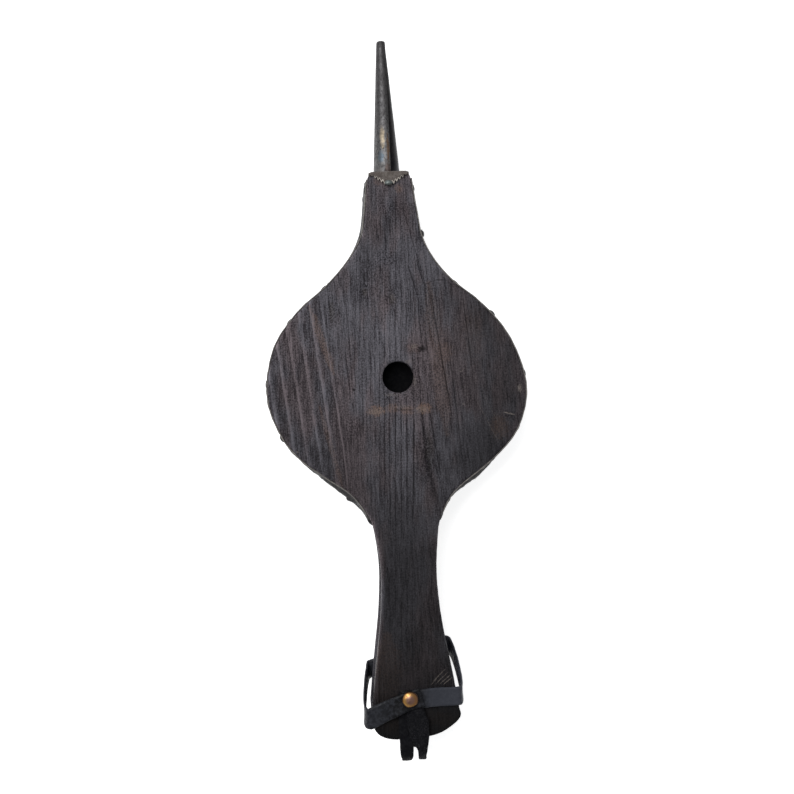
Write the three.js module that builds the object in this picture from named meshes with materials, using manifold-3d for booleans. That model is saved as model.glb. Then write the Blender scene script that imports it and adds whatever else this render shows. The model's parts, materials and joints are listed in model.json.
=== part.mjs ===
// Hand bellows. Two pear-shaped softwood boards with handles lie one over the other, joined
// round their edges by a leather gusset with a bent wooden hoop inside it. A bored wooden
// block between their noses holds a hollow iron nozzle. The front board has an air hole, with
// a leather flap valve behind it, and is hinged to the nose by leather. A leather strap round
// both handles keeps the bellows shut, and a leather loop hangs from the end of the handle.
//
// Millimetres, +Z up. The origin is on the back board's outer face, straight under the air
// hole. +Y points along the nozzle, and +X is to the right of someone facing the front board.
import * as THREE from 'three';
import { mergeVertices } from 'three/addons/utils/BufferGeometryUtils.js';
import Module from 'manifold-3d';

// Driving dimensions.
const BOARD = 14;
const CHAMBER = 28;
const NOSE_Y = 158;
const HANDLE_END_Y = -281;
const AIR_HOLE_R = 12.5;
const LEATHER = 2;
const GUSSET_THICK = 1.2;
const GAP = 0.3;

const NOZZLE_LENGTH = 110.6;
const NOZZLE_BASE_R = 9.9;
const NOZZLE_TIP_R = 3.2;
const NOZZLE_WALL = 1.1;
const SHANK = 30;
const BLOCK_LENGTH = 52;
const PASSAGE_R = 7;

const STRAP_WIDTH = 15;
const STRAP_THICK = 2;
const THONG_THICK = 2.7;

// Levels across the thickness.
const FRONT_INNER = BOARD + CHAMBER;
const FRONT_OUTER = FRONT_INNER + BOARD;
const AXIS_Z = BOARD + CHAMBER / 2;

// How far the hand-cut edge lies to the left and to the right of the Y axis, at stations down
// the board from the nose to the handle's end.
const EDGE_STATIONS = [
  [155, 16.7, 16.6], [143, 18.1, 18.1], [127, 20, 20], [109, 23.6, 23], [91, 34.8, 31],
  [72, 52.5, 46.4], [53, 75.2, 68.6], [26, 94.6, 88.7], [-10, 101.3, 99.3], [-40, 92.6, 93],
  [-60, 78, 77.8], [-75, 59.2, 59.4], [-86, 43.8, 44], [-97, 33.8, 34.2], [-113, 25.4, 27],
  [-135, 21.6, 24], [-158, 20.4, 22.8], [-190, 22.8, 25.2], [-225, 27.8, 30.8], [-260, 32.4, 35.8],
];
// The handle's end, from right to left: cut off aslant, with its corners rounded.
const HANDLE_END = [
  [36.2, -266], [27.5, -273.8], [14, -279.4], [-11, HANDLE_END_Y], [-24.5, -278.4], [-31.4, -271.5],
];
const NOSE_CORNER = 3;

// Edge tacks stand on both sides of both boards at these distances from the air hole.
const TACK_STATIONS = [147, 111, 71, 46, -1, -43, -72, -97];
const TACK_SHANK_R = 0.9;

const material = (color, roughness, metalness = 0) =>
  new THREE.MeshStandardMaterial({ color, roughness, metalness });
const WOOD = material(0x2b211d, 0.75);
const INNER_WOOD = material(0x8a6a48, 0.8);
const LEATHER_DARK = material(0x1d1a1a, 0.6);
const LEATHER_BROWN = material(0x4a3b34, 0.7);
const IRON = material(0x5b5d60, 0.5, 1);
const BRASS = material(0xc08a3a, 0.3, 1);

// Solids ------------------------------------------------------------------------------------

const wasm = await Module();
wasm.setup();

function solid(geometry) {
  const bare = geometry.clone();
  bare.deleteAttribute('normal');
  bare.deleteAttribute('uv');
  const merged = mergeVertices(bare, 1e-4);
  return new wasm.Manifold(new wasm.Mesh({
    numProp: 3,
    vertProperties: new Float32Array(merged.attributes.position.array),
    triVerts: new Uint32Array(merged.index.array),
  }));
}

function geometryOf(manifold) {
  const mesh = manifold.getMesh();
  const geometry = new THREE.BufferGeometry();
  geometry.setAttribute('position', new THREE.BufferAttribute(mesh.vertProperties, 3));
  geometry.setIndex(new THREE.BufferAttribute(mesh.triVerts, 1));
  return geometry;
}

const cut = (geometry, ...tools) =>
  geometryOf(tools.reduce((left, tool) => left.subtract(solid(tool)), solid(geometry)));
const joined = (...parts) => geometryOf(parts.map(solid).reduce((sum, part) => sum.add(part)));
const within = (geometry, limits) => geometryOf(solid(geometry).intersect(solid(limits)));

function boxBetween(low, high) {
  const size = high.map((value, i) => value - low[i]);
  const middle = high.map((value, i) => (value + low[i]) / 2);
  return new THREE.BoxGeometry(...size).translate(...middle);
}

// A plate of the given outline, from one height to another, with its edges softened.
function plate(points, low, high, softened = 0) {
  return new THREE.ExtrudeGeometry(new THREE.Shape(points), {
    depth: high - low - 2 * softened,
    bevelEnabled: softened > 0,
    bevelThickness: softened,
    bevelSize: softened,
    bevelOffset: -softened,
    bevelSegments: 1,
  }).translate(0, 0, low + softened);
}

// A round bar about the Y axis, at height z.
function barAlongY(radius, low, high, z, sides = 20) {
  return new THREE.CylinderGeometry(radius, radius, high - low, sides)
    .translate(0, (low + high) / 2, z);
}

// A flat strap carried along a curve. Its width stays as near to the Y axis as the curve lets it.
function strap(curve, steps, width, thick) {
  const corners = [];
  for (let i = 0; i <= steps; i += 1) {
    const at = curve.getPointAt(i / steps);
    const along = curve.getTangentAt(i / steps);
    const across = new THREE.Vector3(0, 1, 0).addScaledVector(along, -along.y).normalize();
    const out = new THREE.Vector3().crossVectors(along, across);
    for (const [u, v] of [[-1, -1], [1, -1], [1, 1], [-1, 1]]) {
      corners.push(...at.clone().addScaledVector(across, u * width / 2)
        .addScaledVector(out, v * thick / 2).toArray());
    }
  }
  const index = [0, 2, 1, 0, 3, 2];
  for (let i = 0; i < steps; i += 1) {
    for (let side = 0; side < 4; side += 1) {
      const [a, b] = [4 * i + side, 4 * i + (side + 1) % 4];
      index.push(a, b, b + 4, a, b + 4, a + 4);
    }
  }
  const last = 4 * steps;
  index.push(last, last + 1, last + 2, last, last + 2, last + 3);
  const geometry = new THREE.BufferGeometry();
  geometry.setAttribute('position', new THREE.Float32BufferAttribute(corners, 3));
  geometry.setIndex(index);
  return geometry;
}

// Outlines ----------------------------------------------------------------------------------

// The board's right (side 1) or left (side -1) edge, from the nose down.
const edgePoints = (side) =>
  EDGE_STATIONS.map(([y, left, right]) => new THREE.Vector2(side > 0 ? right : -left, y));

// Moves each point of a closed outline outward by a distance.
function offsetLoop(points, distance) {
  const turned = THREE.ShapeUtils.isClockWise(points) ? points.slice().reverse() : points;
  const count = turned.length;
  return turned.map((point, i) => {
    const before = point.clone().sub(turned[(i + count - 1) % count]).normalize();
    const after = turned[(i + 1) % count].clone().sub(point).normalize();
    const along = before.add(after).normalize();
    return new THREE.Vector2(point.x + distance * along.y, point.y - distance * along.x);
  });
}

function boardOutline(offset = 0) {
  const right = edgePoints(1);
  const left = edgePoints(-1).reverse();
  const path = new THREE.Path();
  path.moveTo(right[0].x, right[0].y);
  path.splineThru(right.slice(1));
  path.splineThru([...HANDLE_END.map(([x, y]) => new THREE.Vector2(x, y)), left[0]]);
  path.splineThru(left.slice(1));
  const top = left.at(-1);
  path.quadraticCurveTo(top.x, NOSE_Y, top.x + NOSE_CORNER, NOSE_Y);
  path.lineTo(right[0].x - NOSE_CORNER, NOSE_Y);
  path.quadraticCurveTo(right[0].x, NOSE_Y, right[0].x, right[0].y);
  const points = path.getPoints(3).filter((p, i, all) => i === 0 || p.distanceTo(all[i - 1]) > 0.05);
  if (points[0].distanceTo(points.at(-1)) < 0.05) points.pop();
  return offsetLoop(points, offset);
}

// A point on the board's edge at distance y from the air hole, and the direction out of the wood.
function edgeAt(side, y) {
  const fine = new THREE.SplineCurve(edgePoints(side)).getPoints(600);
  const i = fine.findIndex((point) => point.y < y);
  const along = fine[i].clone().sub(fine[i - 1]).normalize();
  return { x: fine[i].x, y, outX: -side * along.y, outY: side * along.x };
}

// A closed band of the given thickness whose middle follows an open line of points.
function band(points, thick) {
  const sides = [1, -1].map((sign) => points.map((point, i) => {
    const before = points[Math.max(i - 1, 0)];
    const after = points[Math.min(i + 1, points.length - 1)];
    const along = after.clone().sub(before).normalize();
    const shift = sign * thick / 2;
    return new THREE.Vector2(point.x + shift * along.y, point.y - shift * along.x);
  }));
  return [...sides[0], ...sides[1].reverse()];
}

// Tacks -------------------------------------------------------------------------------------

// A domed tack along +Y: the head's underside is at 0 and the pointed shank runs down.
function tackGeometry(headR, headHeight, shankR, shankLength, sides = 8) {
  return new THREE.LatheGeometry([
    new THREE.Vector2(0, -shankLength),
    new THREE.Vector2(shankR, -shankLength + 2),
    new THREE.Vector2(shankR, 0),
    new THREE.Vector2(headR, 0),
    new THREE.Vector2(headR * 0.86, headHeight * 0.6),
    new THREE.Vector2(headR * 0.45, headHeight * 0.94),
    new THREE.Vector2(0, headHeight),
  ], sides);
}

// Every tack is described by the spot where its head meets the surface, its direction out of
// the surface, and its sizes. The same description makes the hole that its shank needs.
const UP = new THREE.Vector3(0, 1, 0);
const SHANK_ROOM = 0.35;

function tack(at, out, { headR = 3.8, headHeight = 2.4, shankLength = 12, shankR = TACK_SHANK_R }) {
  const turn = new THREE.Quaternion().setFromUnitVectors(UP, out.clone().normalize());
  const hole = new THREE.CylinderGeometry(shankR + SHANK_ROOM, shankR + SHANK_ROOM, shankLength + 2, 6)
    .translate(0, -shankLength / 2, 0).applyQuaternion(turn).translate(at.x, at.y, at.z);
  return { at, turn, hole, geometry: tackGeometry(headR, headHeight, shankR, shankLength) };
}

function edgeTack(side, y, z) {
  const { x, outX, outY } = edgeAt(side, y);
  const proud = GAP + GUSSET_THICK + GAP;
  const at = new THREE.Vector3(x + outX * proud, y + outY * proud, z);
  return tack(at, new THREE.Vector3(outX, outY, 0), { headR: 3.1, headHeight: 1.2 });
}

const sides = [['right', 1], ['left', -1]];
const edgeTacks = (z) => sides.flatMap(([name, side]) =>
  TACK_STATIONS.map((y, i) => ({ name: `${name}_${i + 1}`, ...edgeTack(side, y, z) })));
const backEdgeTacks = edgeTacks(BOARD / 2);
const frontEdgeTacks = edgeTacks(FRONT_INNER + BOARD / 2);

// The nose.
const TONGUE_TIP_Y = 148.5;
const noseTack = tack(
  new THREE.Vector3(-0.6, TONGUE_TIP_Y + 1.9, FRONT_OUTER + LEATHER + 2 * GAP),
  new THREE.Vector3(0, 0, 1),
  { headR: 2.6, headHeight: 1.6, shankLength: 11, shankR: 0.8 },
);
const NOSE_LEATHER = 1.6;
const endTacks = [[-11, 7], [11, 7], [-11, 38], [11, 38]].map(([x, z]) => tack(
  new THREE.Vector3(x, NOSE_Y + NOSE_LEATHER + 2 * GAP, z),
  new THREE.Vector3(0, 1, 0),
  { headR: 2.4, headHeight: 1.4, shankLength: 11, shankR: 0.8 },
));
// Nails up through the back board into the block, their heads sunk in the wood.
const NAIL_Z = 1.2;
const blockNails = [132, 113].map((y, i) => tack(
  new THREE.Vector3(i ? 15 : -13, y, NAIL_Z + 1.2),
  new THREE.Vector3(0, 0, -1),
  { headR: 2.6, headHeight: 1.2, shankLength: 30, shankR: 1.1 },
));

// The strap and the hanging loop are held by one brass tack in the front board's handle.
const STRAP_TACK = { x: -3, y: -247.9 };
const strapTack = tack(
  new THREE.Vector3(STRAP_TACK.x, STRAP_TACK.y, FRONT_OUTER + THONG_THICK + 2 * STRAP_THICK + 4 * GAP),
  new THREE.Vector3(0, 0, 1),
  { headR: 6.3, headHeight: 3.8, shankLength: 18, shankR: 1.3 },
);

// The flap valve.
const FLAP_HALF = 21;
const FLAP_HINGE_Y = 22.7;
const FLAP_END_Y = -21;
const FLAP_TOP = FRONT_INNER - GAP;
const downTack = (x, y, z) => tack(new THREE.Vector3(x, y, z), new THREE.Vector3(0, 0, -1),
  { headR: 2.6, headHeight: 1.4, shankLength: 10, shankR: 0.8 });
const FLAP_TACK_Y = 28.5;
const flapTacks = [-14, 14].map((x) => downTack(x, FLAP_TACK_Y, FLAP_TOP - LEATHER - GAP));
const STOP_THICK = 1.5;
const STOP_Y = -4;
const STOP_WIDTH = 8;
const STOP_SPAN = 30;
const STOP_SAG = 17.1;
const STOP_END = 40;
const stopTacks = [-1, 1].map((side) =>
  downTack(side * (STOP_SPAN + STOP_END) / 2, STOP_Y, FLAP_TOP - STOP_THICK - GAP));

const holesOf = (tacks) => tacks.map((one) => one.hole);

// Boards and block --------------------------------------------------------------------------

const EDGE_SOFTENED = 1;

// The back board's handle is thinned from below, so the strap passes under it clear of a table.
const THINNING_START_Y = -128;
const THINNING_FULL_Y = -190;
const THINNING = 4;

function backBoard() {
  const thinning = new THREE.ExtrudeGeometry(new THREE.Shape([
    new THREE.Vector2(THINNING_START_Y, 0),
    new THREE.Vector2(THINNING_FULL_Y, THINNING),
    new THREE.Vector2(HANDLE_END_Y - 20, THINNING),
    new THREE.Vector2(HANDLE_END_Y - 20, -5),
    new THREE.Vector2(THINNING_START_Y, -5),
  ]), { depth: 120, bevelEnabled: false })
    .translate(0, 0, -60).rotateY(Math.PI / 2).rotateX(Math.PI / 2);
  const sinks = blockNails.map((nail) =>
    new THREE.CylinderGeometry(3, 3, 5, 12).rotateX(Math.PI / 2)
      .translate(nail.at.x, nail.at.y, NAIL_Z + 1.5 - 2.5));
  return cut(plate(boardOutline(), 0, BOARD, EDGE_SOFTENED), thinning, ...sinks,
    ...holesOf(backEdgeTacks), ...holesOf(blockNails), ...holesOf(endTacks.slice(0, 2)));
}

function frontBoard() {
  const airHole = new THREE.CylinderGeometry(AIR_HOLE_R, AIR_HOLE_R, 3 * BOARD, 32)
    .rotateX(Math.PI / 2).translate(0, 0, FRONT_OUTER);
  return cut(plate(boardOutline(), FRONT_INNER, FRONT_OUTER, EDGE_SOFTENED), airHole,
    ...holesOf(frontEdgeTacks), noseTack.hole, strapTack.hole,
    ...holesOf(flapTacks), ...holesOf(stopTacks));
}

function nozzleBlock() {
  const blank = within(
    plate(boardOutline(), BOARD + GAP, FRONT_INNER - GAP),
    boxBetween([-60, NOSE_Y - BLOCK_LENGTH, 0], [60, NOSE_Y - GAP, 60]),
  );
  const seat = barAlongY(NOZZLE_BASE_R + GAP, NOSE_Y - SHANK - GAP, NOSE_Y + 5, AXIS_Z, 24);
  const passage = barAlongY(PASSAGE_R, NOSE_Y - BLOCK_LENGTH - 5, NOSE_Y - SHANK + 5, AXIS_Z, 24);
  return cut(blank, seat, passage, ...holesOf(endTacks.slice(2)), ...holesOf(blockNails));
}

// Nozzle ------------------------------------------------------------------------------------

// A hollow cone of sheet iron, with a straight shank that sits in the block.
function nozzle() {
  const tip = NOSE_Y + NOZZLE_LENGTH;
  const bore = (radius) => radius - NOZZLE_WALL;
  return new THREE.LatheGeometry([
    [bore(NOZZLE_BASE_R), NOSE_Y - SHANK],
    [NOZZLE_BASE_R, NOSE_Y - SHANK],
    [NOZZLE_BASE_R, NOSE_Y],
    [NOZZLE_TIP_R, tip - 1],
    [NOZZLE_TIP_R - 0.4, tip],
    [bore(NOZZLE_TIP_R) + 0.2, tip],
    [bore(NOZZLE_TIP_R), tip - 1],
    [bore(NOZZLE_BASE_R), NOSE_Y],
    [bore(NOZZLE_BASE_R), NOSE_Y - SHANK],
  ].map(([radius, y]) => new THREE.Vector2(radius, y)), 24).translate(0, 0, AXIS_Z);
}

// Gusset and hoop ---------------------------------------------------------------------------

const GUSSET_END_Y = -118;
const TAIL_Y = -112;
const TAIL_BULGE = 6;

// The leather covers the boards' edges, and its tail crosses between the two handles.
function gussetLeather() {
  const low = 2 * GAP;
  const high = FRONT_OUTER - 2 * GAP;
  const ring = cut(
    plate(boardOutline(GAP + GUSSET_THICK), low, high),
    plate(boardOutline(GAP), low - 5, high + 5),
  );
  const sleeve = within(ring, boxBetween([-120, GUSSET_END_Y, -5], [120, NOSE_Y - 4, 70]));
  const right = edgeAt(1, TAIL_Y).x + GAP + GUSSET_THICK - 0.4;
  const left = edgeAt(-1, TAIL_Y).x - GAP - GUSSET_THICK + 0.4;
  const tailLine = new THREE.QuadraticBezierCurve(
    new THREE.Vector2(right, TAIL_Y),
    new THREE.Vector2(0, TAIL_Y - TAIL_BULGE),
    new THREE.Vector2(left, TAIL_Y),
  ).getPoints(10);
  const tail = plate(band(tailLine, LEATHER), BOARD + GAP, FRONT_INNER - GAP);
  return cut(joined(sleeve, tail), ...holesOf(backEdgeTacks), ...holesOf(frontEdgeTacks));
}

const HOOP_INSET = 7;
const HOOP_THICK = 4;
const HOOP_HEIGHT = 6;
const HOOP_TOP_Y = 97;
const HOOP_TURN_Y = -86;
const HOOP_TAIL_Y = -101;

// A U of bent wood that keeps the leather spread midway between the boards.
function innerHoop() {
  const inset = boardOutline(-HOOP_INSET);
  const side = (sign) => inset
    .filter((p) => sign * p.x > 0 && p.y < HOOP_TOP_Y && p.y > HOOP_TURN_Y)
    .sort((a, b) => b.y - a.y);
  const right = side(1);
  const left = side(-1).reverse();
  const tail = new THREE.CubicBezierCurve(
    right.at(-1),
    new THREE.Vector2(right.at(-1).x - 10, HOOP_TAIL_Y),
    new THREE.Vector2(left[0].x + 10, HOOP_TAIL_Y),
    left[0],
  ).getPoints(10);
  const line = [...right, ...tail.slice(1, -1), ...left];
  return plate(band(line, HOOP_THICK), AXIS_Z - HOOP_HEIGHT / 2, AXIS_Z + HOOP_HEIGHT / 2);
}

// Valve -------------------------------------------------------------------------------------

function roundedRectangle(left, bottom, right, top, radius) {
  const shape = new THREE.Shape();
  shape.moveTo(left + radius, bottom);
  shape.lineTo(right - radius, bottom);
  shape.quadraticCurveTo(right, bottom, right, bottom + radius);
  shape.lineTo(right, top - radius);
  shape.quadraticCurveTo(right, top, right - radius, top);
  shape.lineTo(left + radius, top);
  shape.quadraticCurveTo(left, top, left, top - radius);
  shape.lineTo(left, bottom + radius);
  shape.quadraticCurveTo(left, bottom, left + radius, bottom);
  return shape.getPoints(4).slice(0, -1);
}

const valveFlap = () =>
  plate(roundedRectangle(-FLAP_HALF, FLAP_END_Y, FLAP_HALF, FLAP_HINGE_Y, 4), FLAP_TOP - LEATHER, FLAP_TOP);

const valveStrip = () =>
  cut(plate(roundedRectangle(-FLAP_HALF, FLAP_HINGE_Y + 1.2, FLAP_HALF, 34, 1), FLAP_TOP - LEATHER, FLAP_TOP),
    ...holesOf(flapTacks));

const STIFFENER_R = 15;
const STIFFENER_THICK = 2.4;

function valveStiffener() {
  const top = FLAP_TOP - LEATHER - GAP;
  return new THREE.CylinderGeometry(STIFFENER_R, STIFFENER_R, STIFFENER_THICK, 24)
    .rotateX(Math.PI / 2).translate(0, 0, top - STIFFENER_THICK / 2);
}

// A slack leather band under the flap. It hangs as a flat-bottomed bow, and stops the flap.
function valveStop() {
  const level = FLAP_TOP - STOP_THICK / 2;
  const line = [new THREE.Vector2(-STOP_END, level)];
  for (let i = 0; i <= 20; i += 1) {
    const x = STOP_SPAN * (i / 10 - 1);
    line.push(new THREE.Vector2(x, level - STOP_SAG * (1 - (x / STOP_SPAN) ** 4)));
  }
  line.push(new THREE.Vector2(STOP_END, level));
  const bow = new THREE.ExtrudeGeometry(new THREE.Shape(band(line, STOP_THICK)),
    { depth: STOP_WIDTH, bevelEnabled: false })
    .rotateX(Math.PI / 2).translate(0, STOP_Y + STOP_WIDTH / 2, 0);
  return cut(bow, ...holesOf(stopTacks));
}

// Nose leather ------------------------------------------------------------------------------

// The leather across the nose's end, with a hole for the nozzle.
function noseLeather() {
  const half = 15.4;
  const face = new THREE.ExtrudeGeometry(
    new THREE.Shape(roundedRectangle(-half, 2 * GAP, half, FRONT_OUTER - 2 * GAP, 2.5)),
    { depth: NOSE_LEATHER, bevelEnabled: false },
  ).rotateX(Math.PI / 2).translate(0, NOSE_Y + GAP + NOSE_LEATHER, 0);
  const nozzleHole = barAlongY(NOZZLE_BASE_R + GAP, NOSE_Y - 5, NOSE_Y + 8, AXIS_Z, 24);
  return cut(face, nozzleHole, ...holesOf(endTacks));
}

// The pointed tongue of the same leather, turned back over the front board. Its edge is pinked.
function noseTongue() {
  const half = 12.5;
  const sideY = NOSE_Y - 2;
  const teeth = 5;
  const notch = 0.9;
  const slope = (sign, i) => {
    const t = Math.abs(i) / (2 * teeth);
    const y = TONGUE_TIP_Y + (sideY - TONGUE_TIP_Y) * t + (i % 2 ? notch : 0);
    return new THREE.Vector2(sign * half * t, y);
  };
  const line = [new THREE.Vector2(-half, NOSE_Y - 0.5)];
  for (let i = -2 * teeth; i <= 2 * teeth; i += 1) line.push(slope(Math.sign(i), i));
  line.push(new THREE.Vector2(half, NOSE_Y - 0.5));
  const bottom = FRONT_OUTER + GAP;
  return cut(plate(line, bottom, bottom + LEATHER), noseTack.hole);
}

// Strap and hanging loop --------------------------------------------------------------------

const RUN_END = 31;
const curveThrough = (points) =>
  new THREE.CatmullRomCurve3(points.map((point) => new THREE.Vector3(...point)), false, 'centripetal');

// The strap's run over the front board. Both its ends lie under the tack, one over the other.
function strapFrontRun() {
  const low = FRONT_OUTER + GAP + STRAP_THICK / 2;
  const high = low + THONG_THICK + GAP;
  const run = strap(curveThrough([
    [-RUN_END, -260.8, low], [-23, -257.2, low + 0.7], [-13, -252.4, high], [-2, -248.6, high],
    [12, -248.5, high], [21, -248.9, low], [RUN_END, -249.2, low],
  ]), 24, STRAP_WIDTH, STRAP_THICK);
  const lap = strap(curveThrough([
    [-11, -250.6, high + STRAP_THICK - 0.05], [-2, -248.6, high + STRAP_THICK - 0.05],
    [7, -248.2, high + STRAP_THICK - 0.05],
  ]), 8, STRAP_WIDTH - 0.4, STRAP_THICK);
  return cut(joined(run, lap), strapTack.hole);
}

// The rest of the strap: down both sides of the handles and across under the back board.
function strapLoop() {
  const top = FRONT_OUTER + GAP + STRAP_THICK / 2;
  const under = STRAP_THICK / 2 + 0.7;
  return strap(curveThrough([
    [-RUN_END - 0.8, -261.1, top], [-35, -262.3, top - 0.1], [-38.4, -261, 52.5], [-37, -250, 32],
    [-34.6, -241, 11], [-32.4, -237.5, 2.6], [-27, -235.5, under], [0, -228.5, under],
    [27, -222, under], [33, -221.5, 2.6], [35.8, -225.4, 11], [38.2, -237, 32], [39, -247.2, 52.5],
    [36.4, -249.1, top - 0.1], [RUN_END + 0.8, -249.2, top],
  ]), 56, STRAP_WIDTH, STRAP_THICK);
}

const THONG_LEFT = -12;
const THONG_RIGHT = 10;
const THONG_SPLIT_Y = -277;

// The flat tail of the hanging loop, held under the strap.
function thongTab() {
  const low = FRONT_OUTER + GAP;
  return cut(boxBetween([THONG_LEFT, THONG_SPLIT_Y, low], [THONG_RIGHT, -243, low + THONG_THICK]),
    strapTack.hole);
}

const LOOP_Y = -301;
const LOOP_BOTTOM = 3;
const EYE = { half: 6, low: 11, high: 42 };

// The free part of the loop: out over the handle's end, then down, with an eye to hang it by.
function hangingLoop() {
  const low = FRONT_OUTER + GAP;
  const high = low + THONG_THICK;
  const middle = (THONG_LEFT + THONG_RIGHT) / 2 + 1.5;
  const ring = new THREE.Shape(roundedRectangle(middle - 12, LOOP_BOTTOM, middle + 12, high, 8));
  ring.holes.push(new THREE.Path(
    roundedRectangle(middle - EYE.half, EYE.low, middle + EYE.half, EYE.high, 5)));
  const hanging = new THREE.ExtrudeGeometry(ring, { depth: THONG_THICK, bevelEnabled: false })
    .rotateX(Math.PI / 2).translate(0, LOOP_Y + THONG_THICK, 0);
  const over = boxBetween([THONG_LEFT, LOOP_Y + 1, low], [THONG_RIGHT, THONG_SPLIT_Y - GAP, high]);
  return joined(hanging, over);
}

// Assembly ----------------------------------------------------------------------------------

const group = new THREE.Group();
group.name = 'hand_bellows';

function place(name, geometry, finish, parent = group) {
  const mesh = new THREE.Mesh(geometry, finish);
  mesh.name = name;
  parent.add(mesh);
  return mesh;
}

function placeTack(name, one, finish, parent) {
  const mesh = place(name, one.geometry, finish, parent);
  mesh.position.copy(one.at);
  mesh.quaternion.copy(one.turn);
}

const fixedHalf = new THREE.Group();
place('back_board', backBoard(), WOOD, fixedHalf);
place('nozzle_block', nozzleBlock(), INNER_WOOD, fixedHalf);
place('nozzle', nozzle(), IRON, fixedHalf);
place('gusset_leather', gussetLeather(), LEATHER_DARK, fixedHalf);
place('nose_leather', noseLeather(), LEATHER_BROWN, fixedHalf);
endTacks.forEach((one, i) => placeTack(`nose_end_tack_${i + 1}`, one, IRON, fixedHalf));
blockNails.forEach((one, i) => placeTack(`block_nail_${i + 1}`, one, IRON, fixedHalf));
backEdgeTacks.forEach((one) => placeTack(`back_edge_tack_${one.name}`, one, IRON, fixedHalf));

const hoop = new THREE.Group();
place('inner_hoop', innerHoop(), INNER_WOOD, hoop);

const movingHalf = new THREE.Group();
place('front_board', frontBoard(), WOOD, movingHalf);
place('nose_tongue', noseTongue(), LEATHER_BROWN, movingHalf);
placeTack('nose_tongue_tack', noseTack, IRON, movingHalf);
frontEdgeTacks.forEach((one) => placeTack(`front_edge_tack_${one.name}`, one, IRON, movingHalf));
place('valve_hinge_strip', valveStrip(), LEATHER_BROWN, movingHalf);
flapTacks.forEach((one, i) => placeTack(`valve_hinge_tack_${i + 1}`, one, IRON, movingHalf));
place('valve_stop_strap', valveStop(), LEATHER_BROWN, movingHalf);
stopTacks.forEach((one, i) => placeTack(`valve_stop_tack_${i + 1}`, one, IRON, movingHalf));
place('strap_front_run', strapFrontRun(), LEATHER_DARK, movingHalf);
placeTack('strap_brass_tack', strapTack, BRASS, movingHalf);
place('hanging_loop_tab', thongTab(), LEATHER_DARK, movingHalf);

const valve = new THREE.Group();
place('valve_flap', valveFlap(), LEATHER_BROWN, valve);
place('valve_stiffener', valveStiffener(), INNER_WOOD, valve);

const straps = new THREE.Group();
place('strap_loop', strapLoop(), LEATHER_DARK, straps);
place('hanging_loop', hangingLoop(), LEATHER_DARK, straps);

movingHalf.add(valve, straps);
group.add(fixedHalf, hoop, movingHalf);

export default group;
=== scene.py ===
"""Looks for a pair of hand bellows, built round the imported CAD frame.

Everything is in the frame's metres. Most shapes are worked out in millimetres and scaled by MM
at the end. +Y points along the nozzle and +Z from the back board to the holed front board.
"""
import json
import math

import bpy
import numpy as np
from mathutils import Matrix, Vector


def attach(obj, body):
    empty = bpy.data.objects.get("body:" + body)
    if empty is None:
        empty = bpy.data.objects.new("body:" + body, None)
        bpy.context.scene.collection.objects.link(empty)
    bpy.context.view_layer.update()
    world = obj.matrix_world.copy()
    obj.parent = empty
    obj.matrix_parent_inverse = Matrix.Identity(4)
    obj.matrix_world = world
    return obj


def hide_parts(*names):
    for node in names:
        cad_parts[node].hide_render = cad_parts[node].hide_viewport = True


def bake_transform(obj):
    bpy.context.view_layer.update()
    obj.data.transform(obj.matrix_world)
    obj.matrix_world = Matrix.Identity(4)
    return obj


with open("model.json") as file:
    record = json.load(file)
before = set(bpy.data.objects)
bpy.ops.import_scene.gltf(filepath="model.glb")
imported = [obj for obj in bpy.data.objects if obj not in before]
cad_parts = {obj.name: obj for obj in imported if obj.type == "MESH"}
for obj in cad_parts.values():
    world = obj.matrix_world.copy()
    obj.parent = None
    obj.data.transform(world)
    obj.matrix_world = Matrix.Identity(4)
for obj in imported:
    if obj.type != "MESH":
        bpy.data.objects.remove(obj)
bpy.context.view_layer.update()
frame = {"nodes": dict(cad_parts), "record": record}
nodes = frame["nodes"]
MM = 0.001

# Sizes shared with the CAD, in millimetres.
BOARD = 14.0
FRONT_INNER = 42.0
FRONT_OUTER = 56.0
AXIS_Z = 28.0

# Straight pieces in each span of a curve before its points are spaced evenly.
SPAN_STEPS = 24


# Small tools -------------------------------------------------------------------------------


def rise(value, low, high):
    """0 below low, 1 above high, and a smooth climb between them. low may be above high."""
    t = np.clip((value - low) / (high - low), 0, 1)
    return t * t * (3 - 2 * t)


def bell(value, centre, width):
    """1 at the centre, falling off smoothly to almost 0 at twice the width."""
    return np.exp(-(((value - centre) / width) ** 2))


def lattice(seed, *cells):
    """One steady random number from 0 to 1 for each whole-numbered cell."""
    mixed = np.full(np.broadcast(*cells).shape, seed * 7919 + 17, np.uint32)
    for cell in cells:
        mixed = (mixed ^ cell.astype(np.int64).astype(np.uint32)) * np.uint32(2654435761)
        mixed ^= mixed >> np.uint32(15)
    return (mixed & np.uint32(65535)) / 65535.0


def noise(x, y, seed=0):
    """Smooth random hills from -1 to 1, about one unit apart."""
    x, y = np.broadcast_arrays(np.asarray(x, float), np.asarray(y, float))
    x0, y0 = np.floor(x), np.floor(y)
    u, v = x - x0, y - y0
    u, v = u * u * (3 - 2 * u), v * v * (3 - 2 * v)
    low = lattice(seed, x0, y0) * (1 - u) + lattice(seed, x0 + 1, y0) * u
    high = lattice(seed, x0, y0 + 1) * (1 - u) + lattice(seed, x0 + 1, y0 + 1) * u
    return 2 * (low * (1 - v) + high * v) - 1


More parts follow.
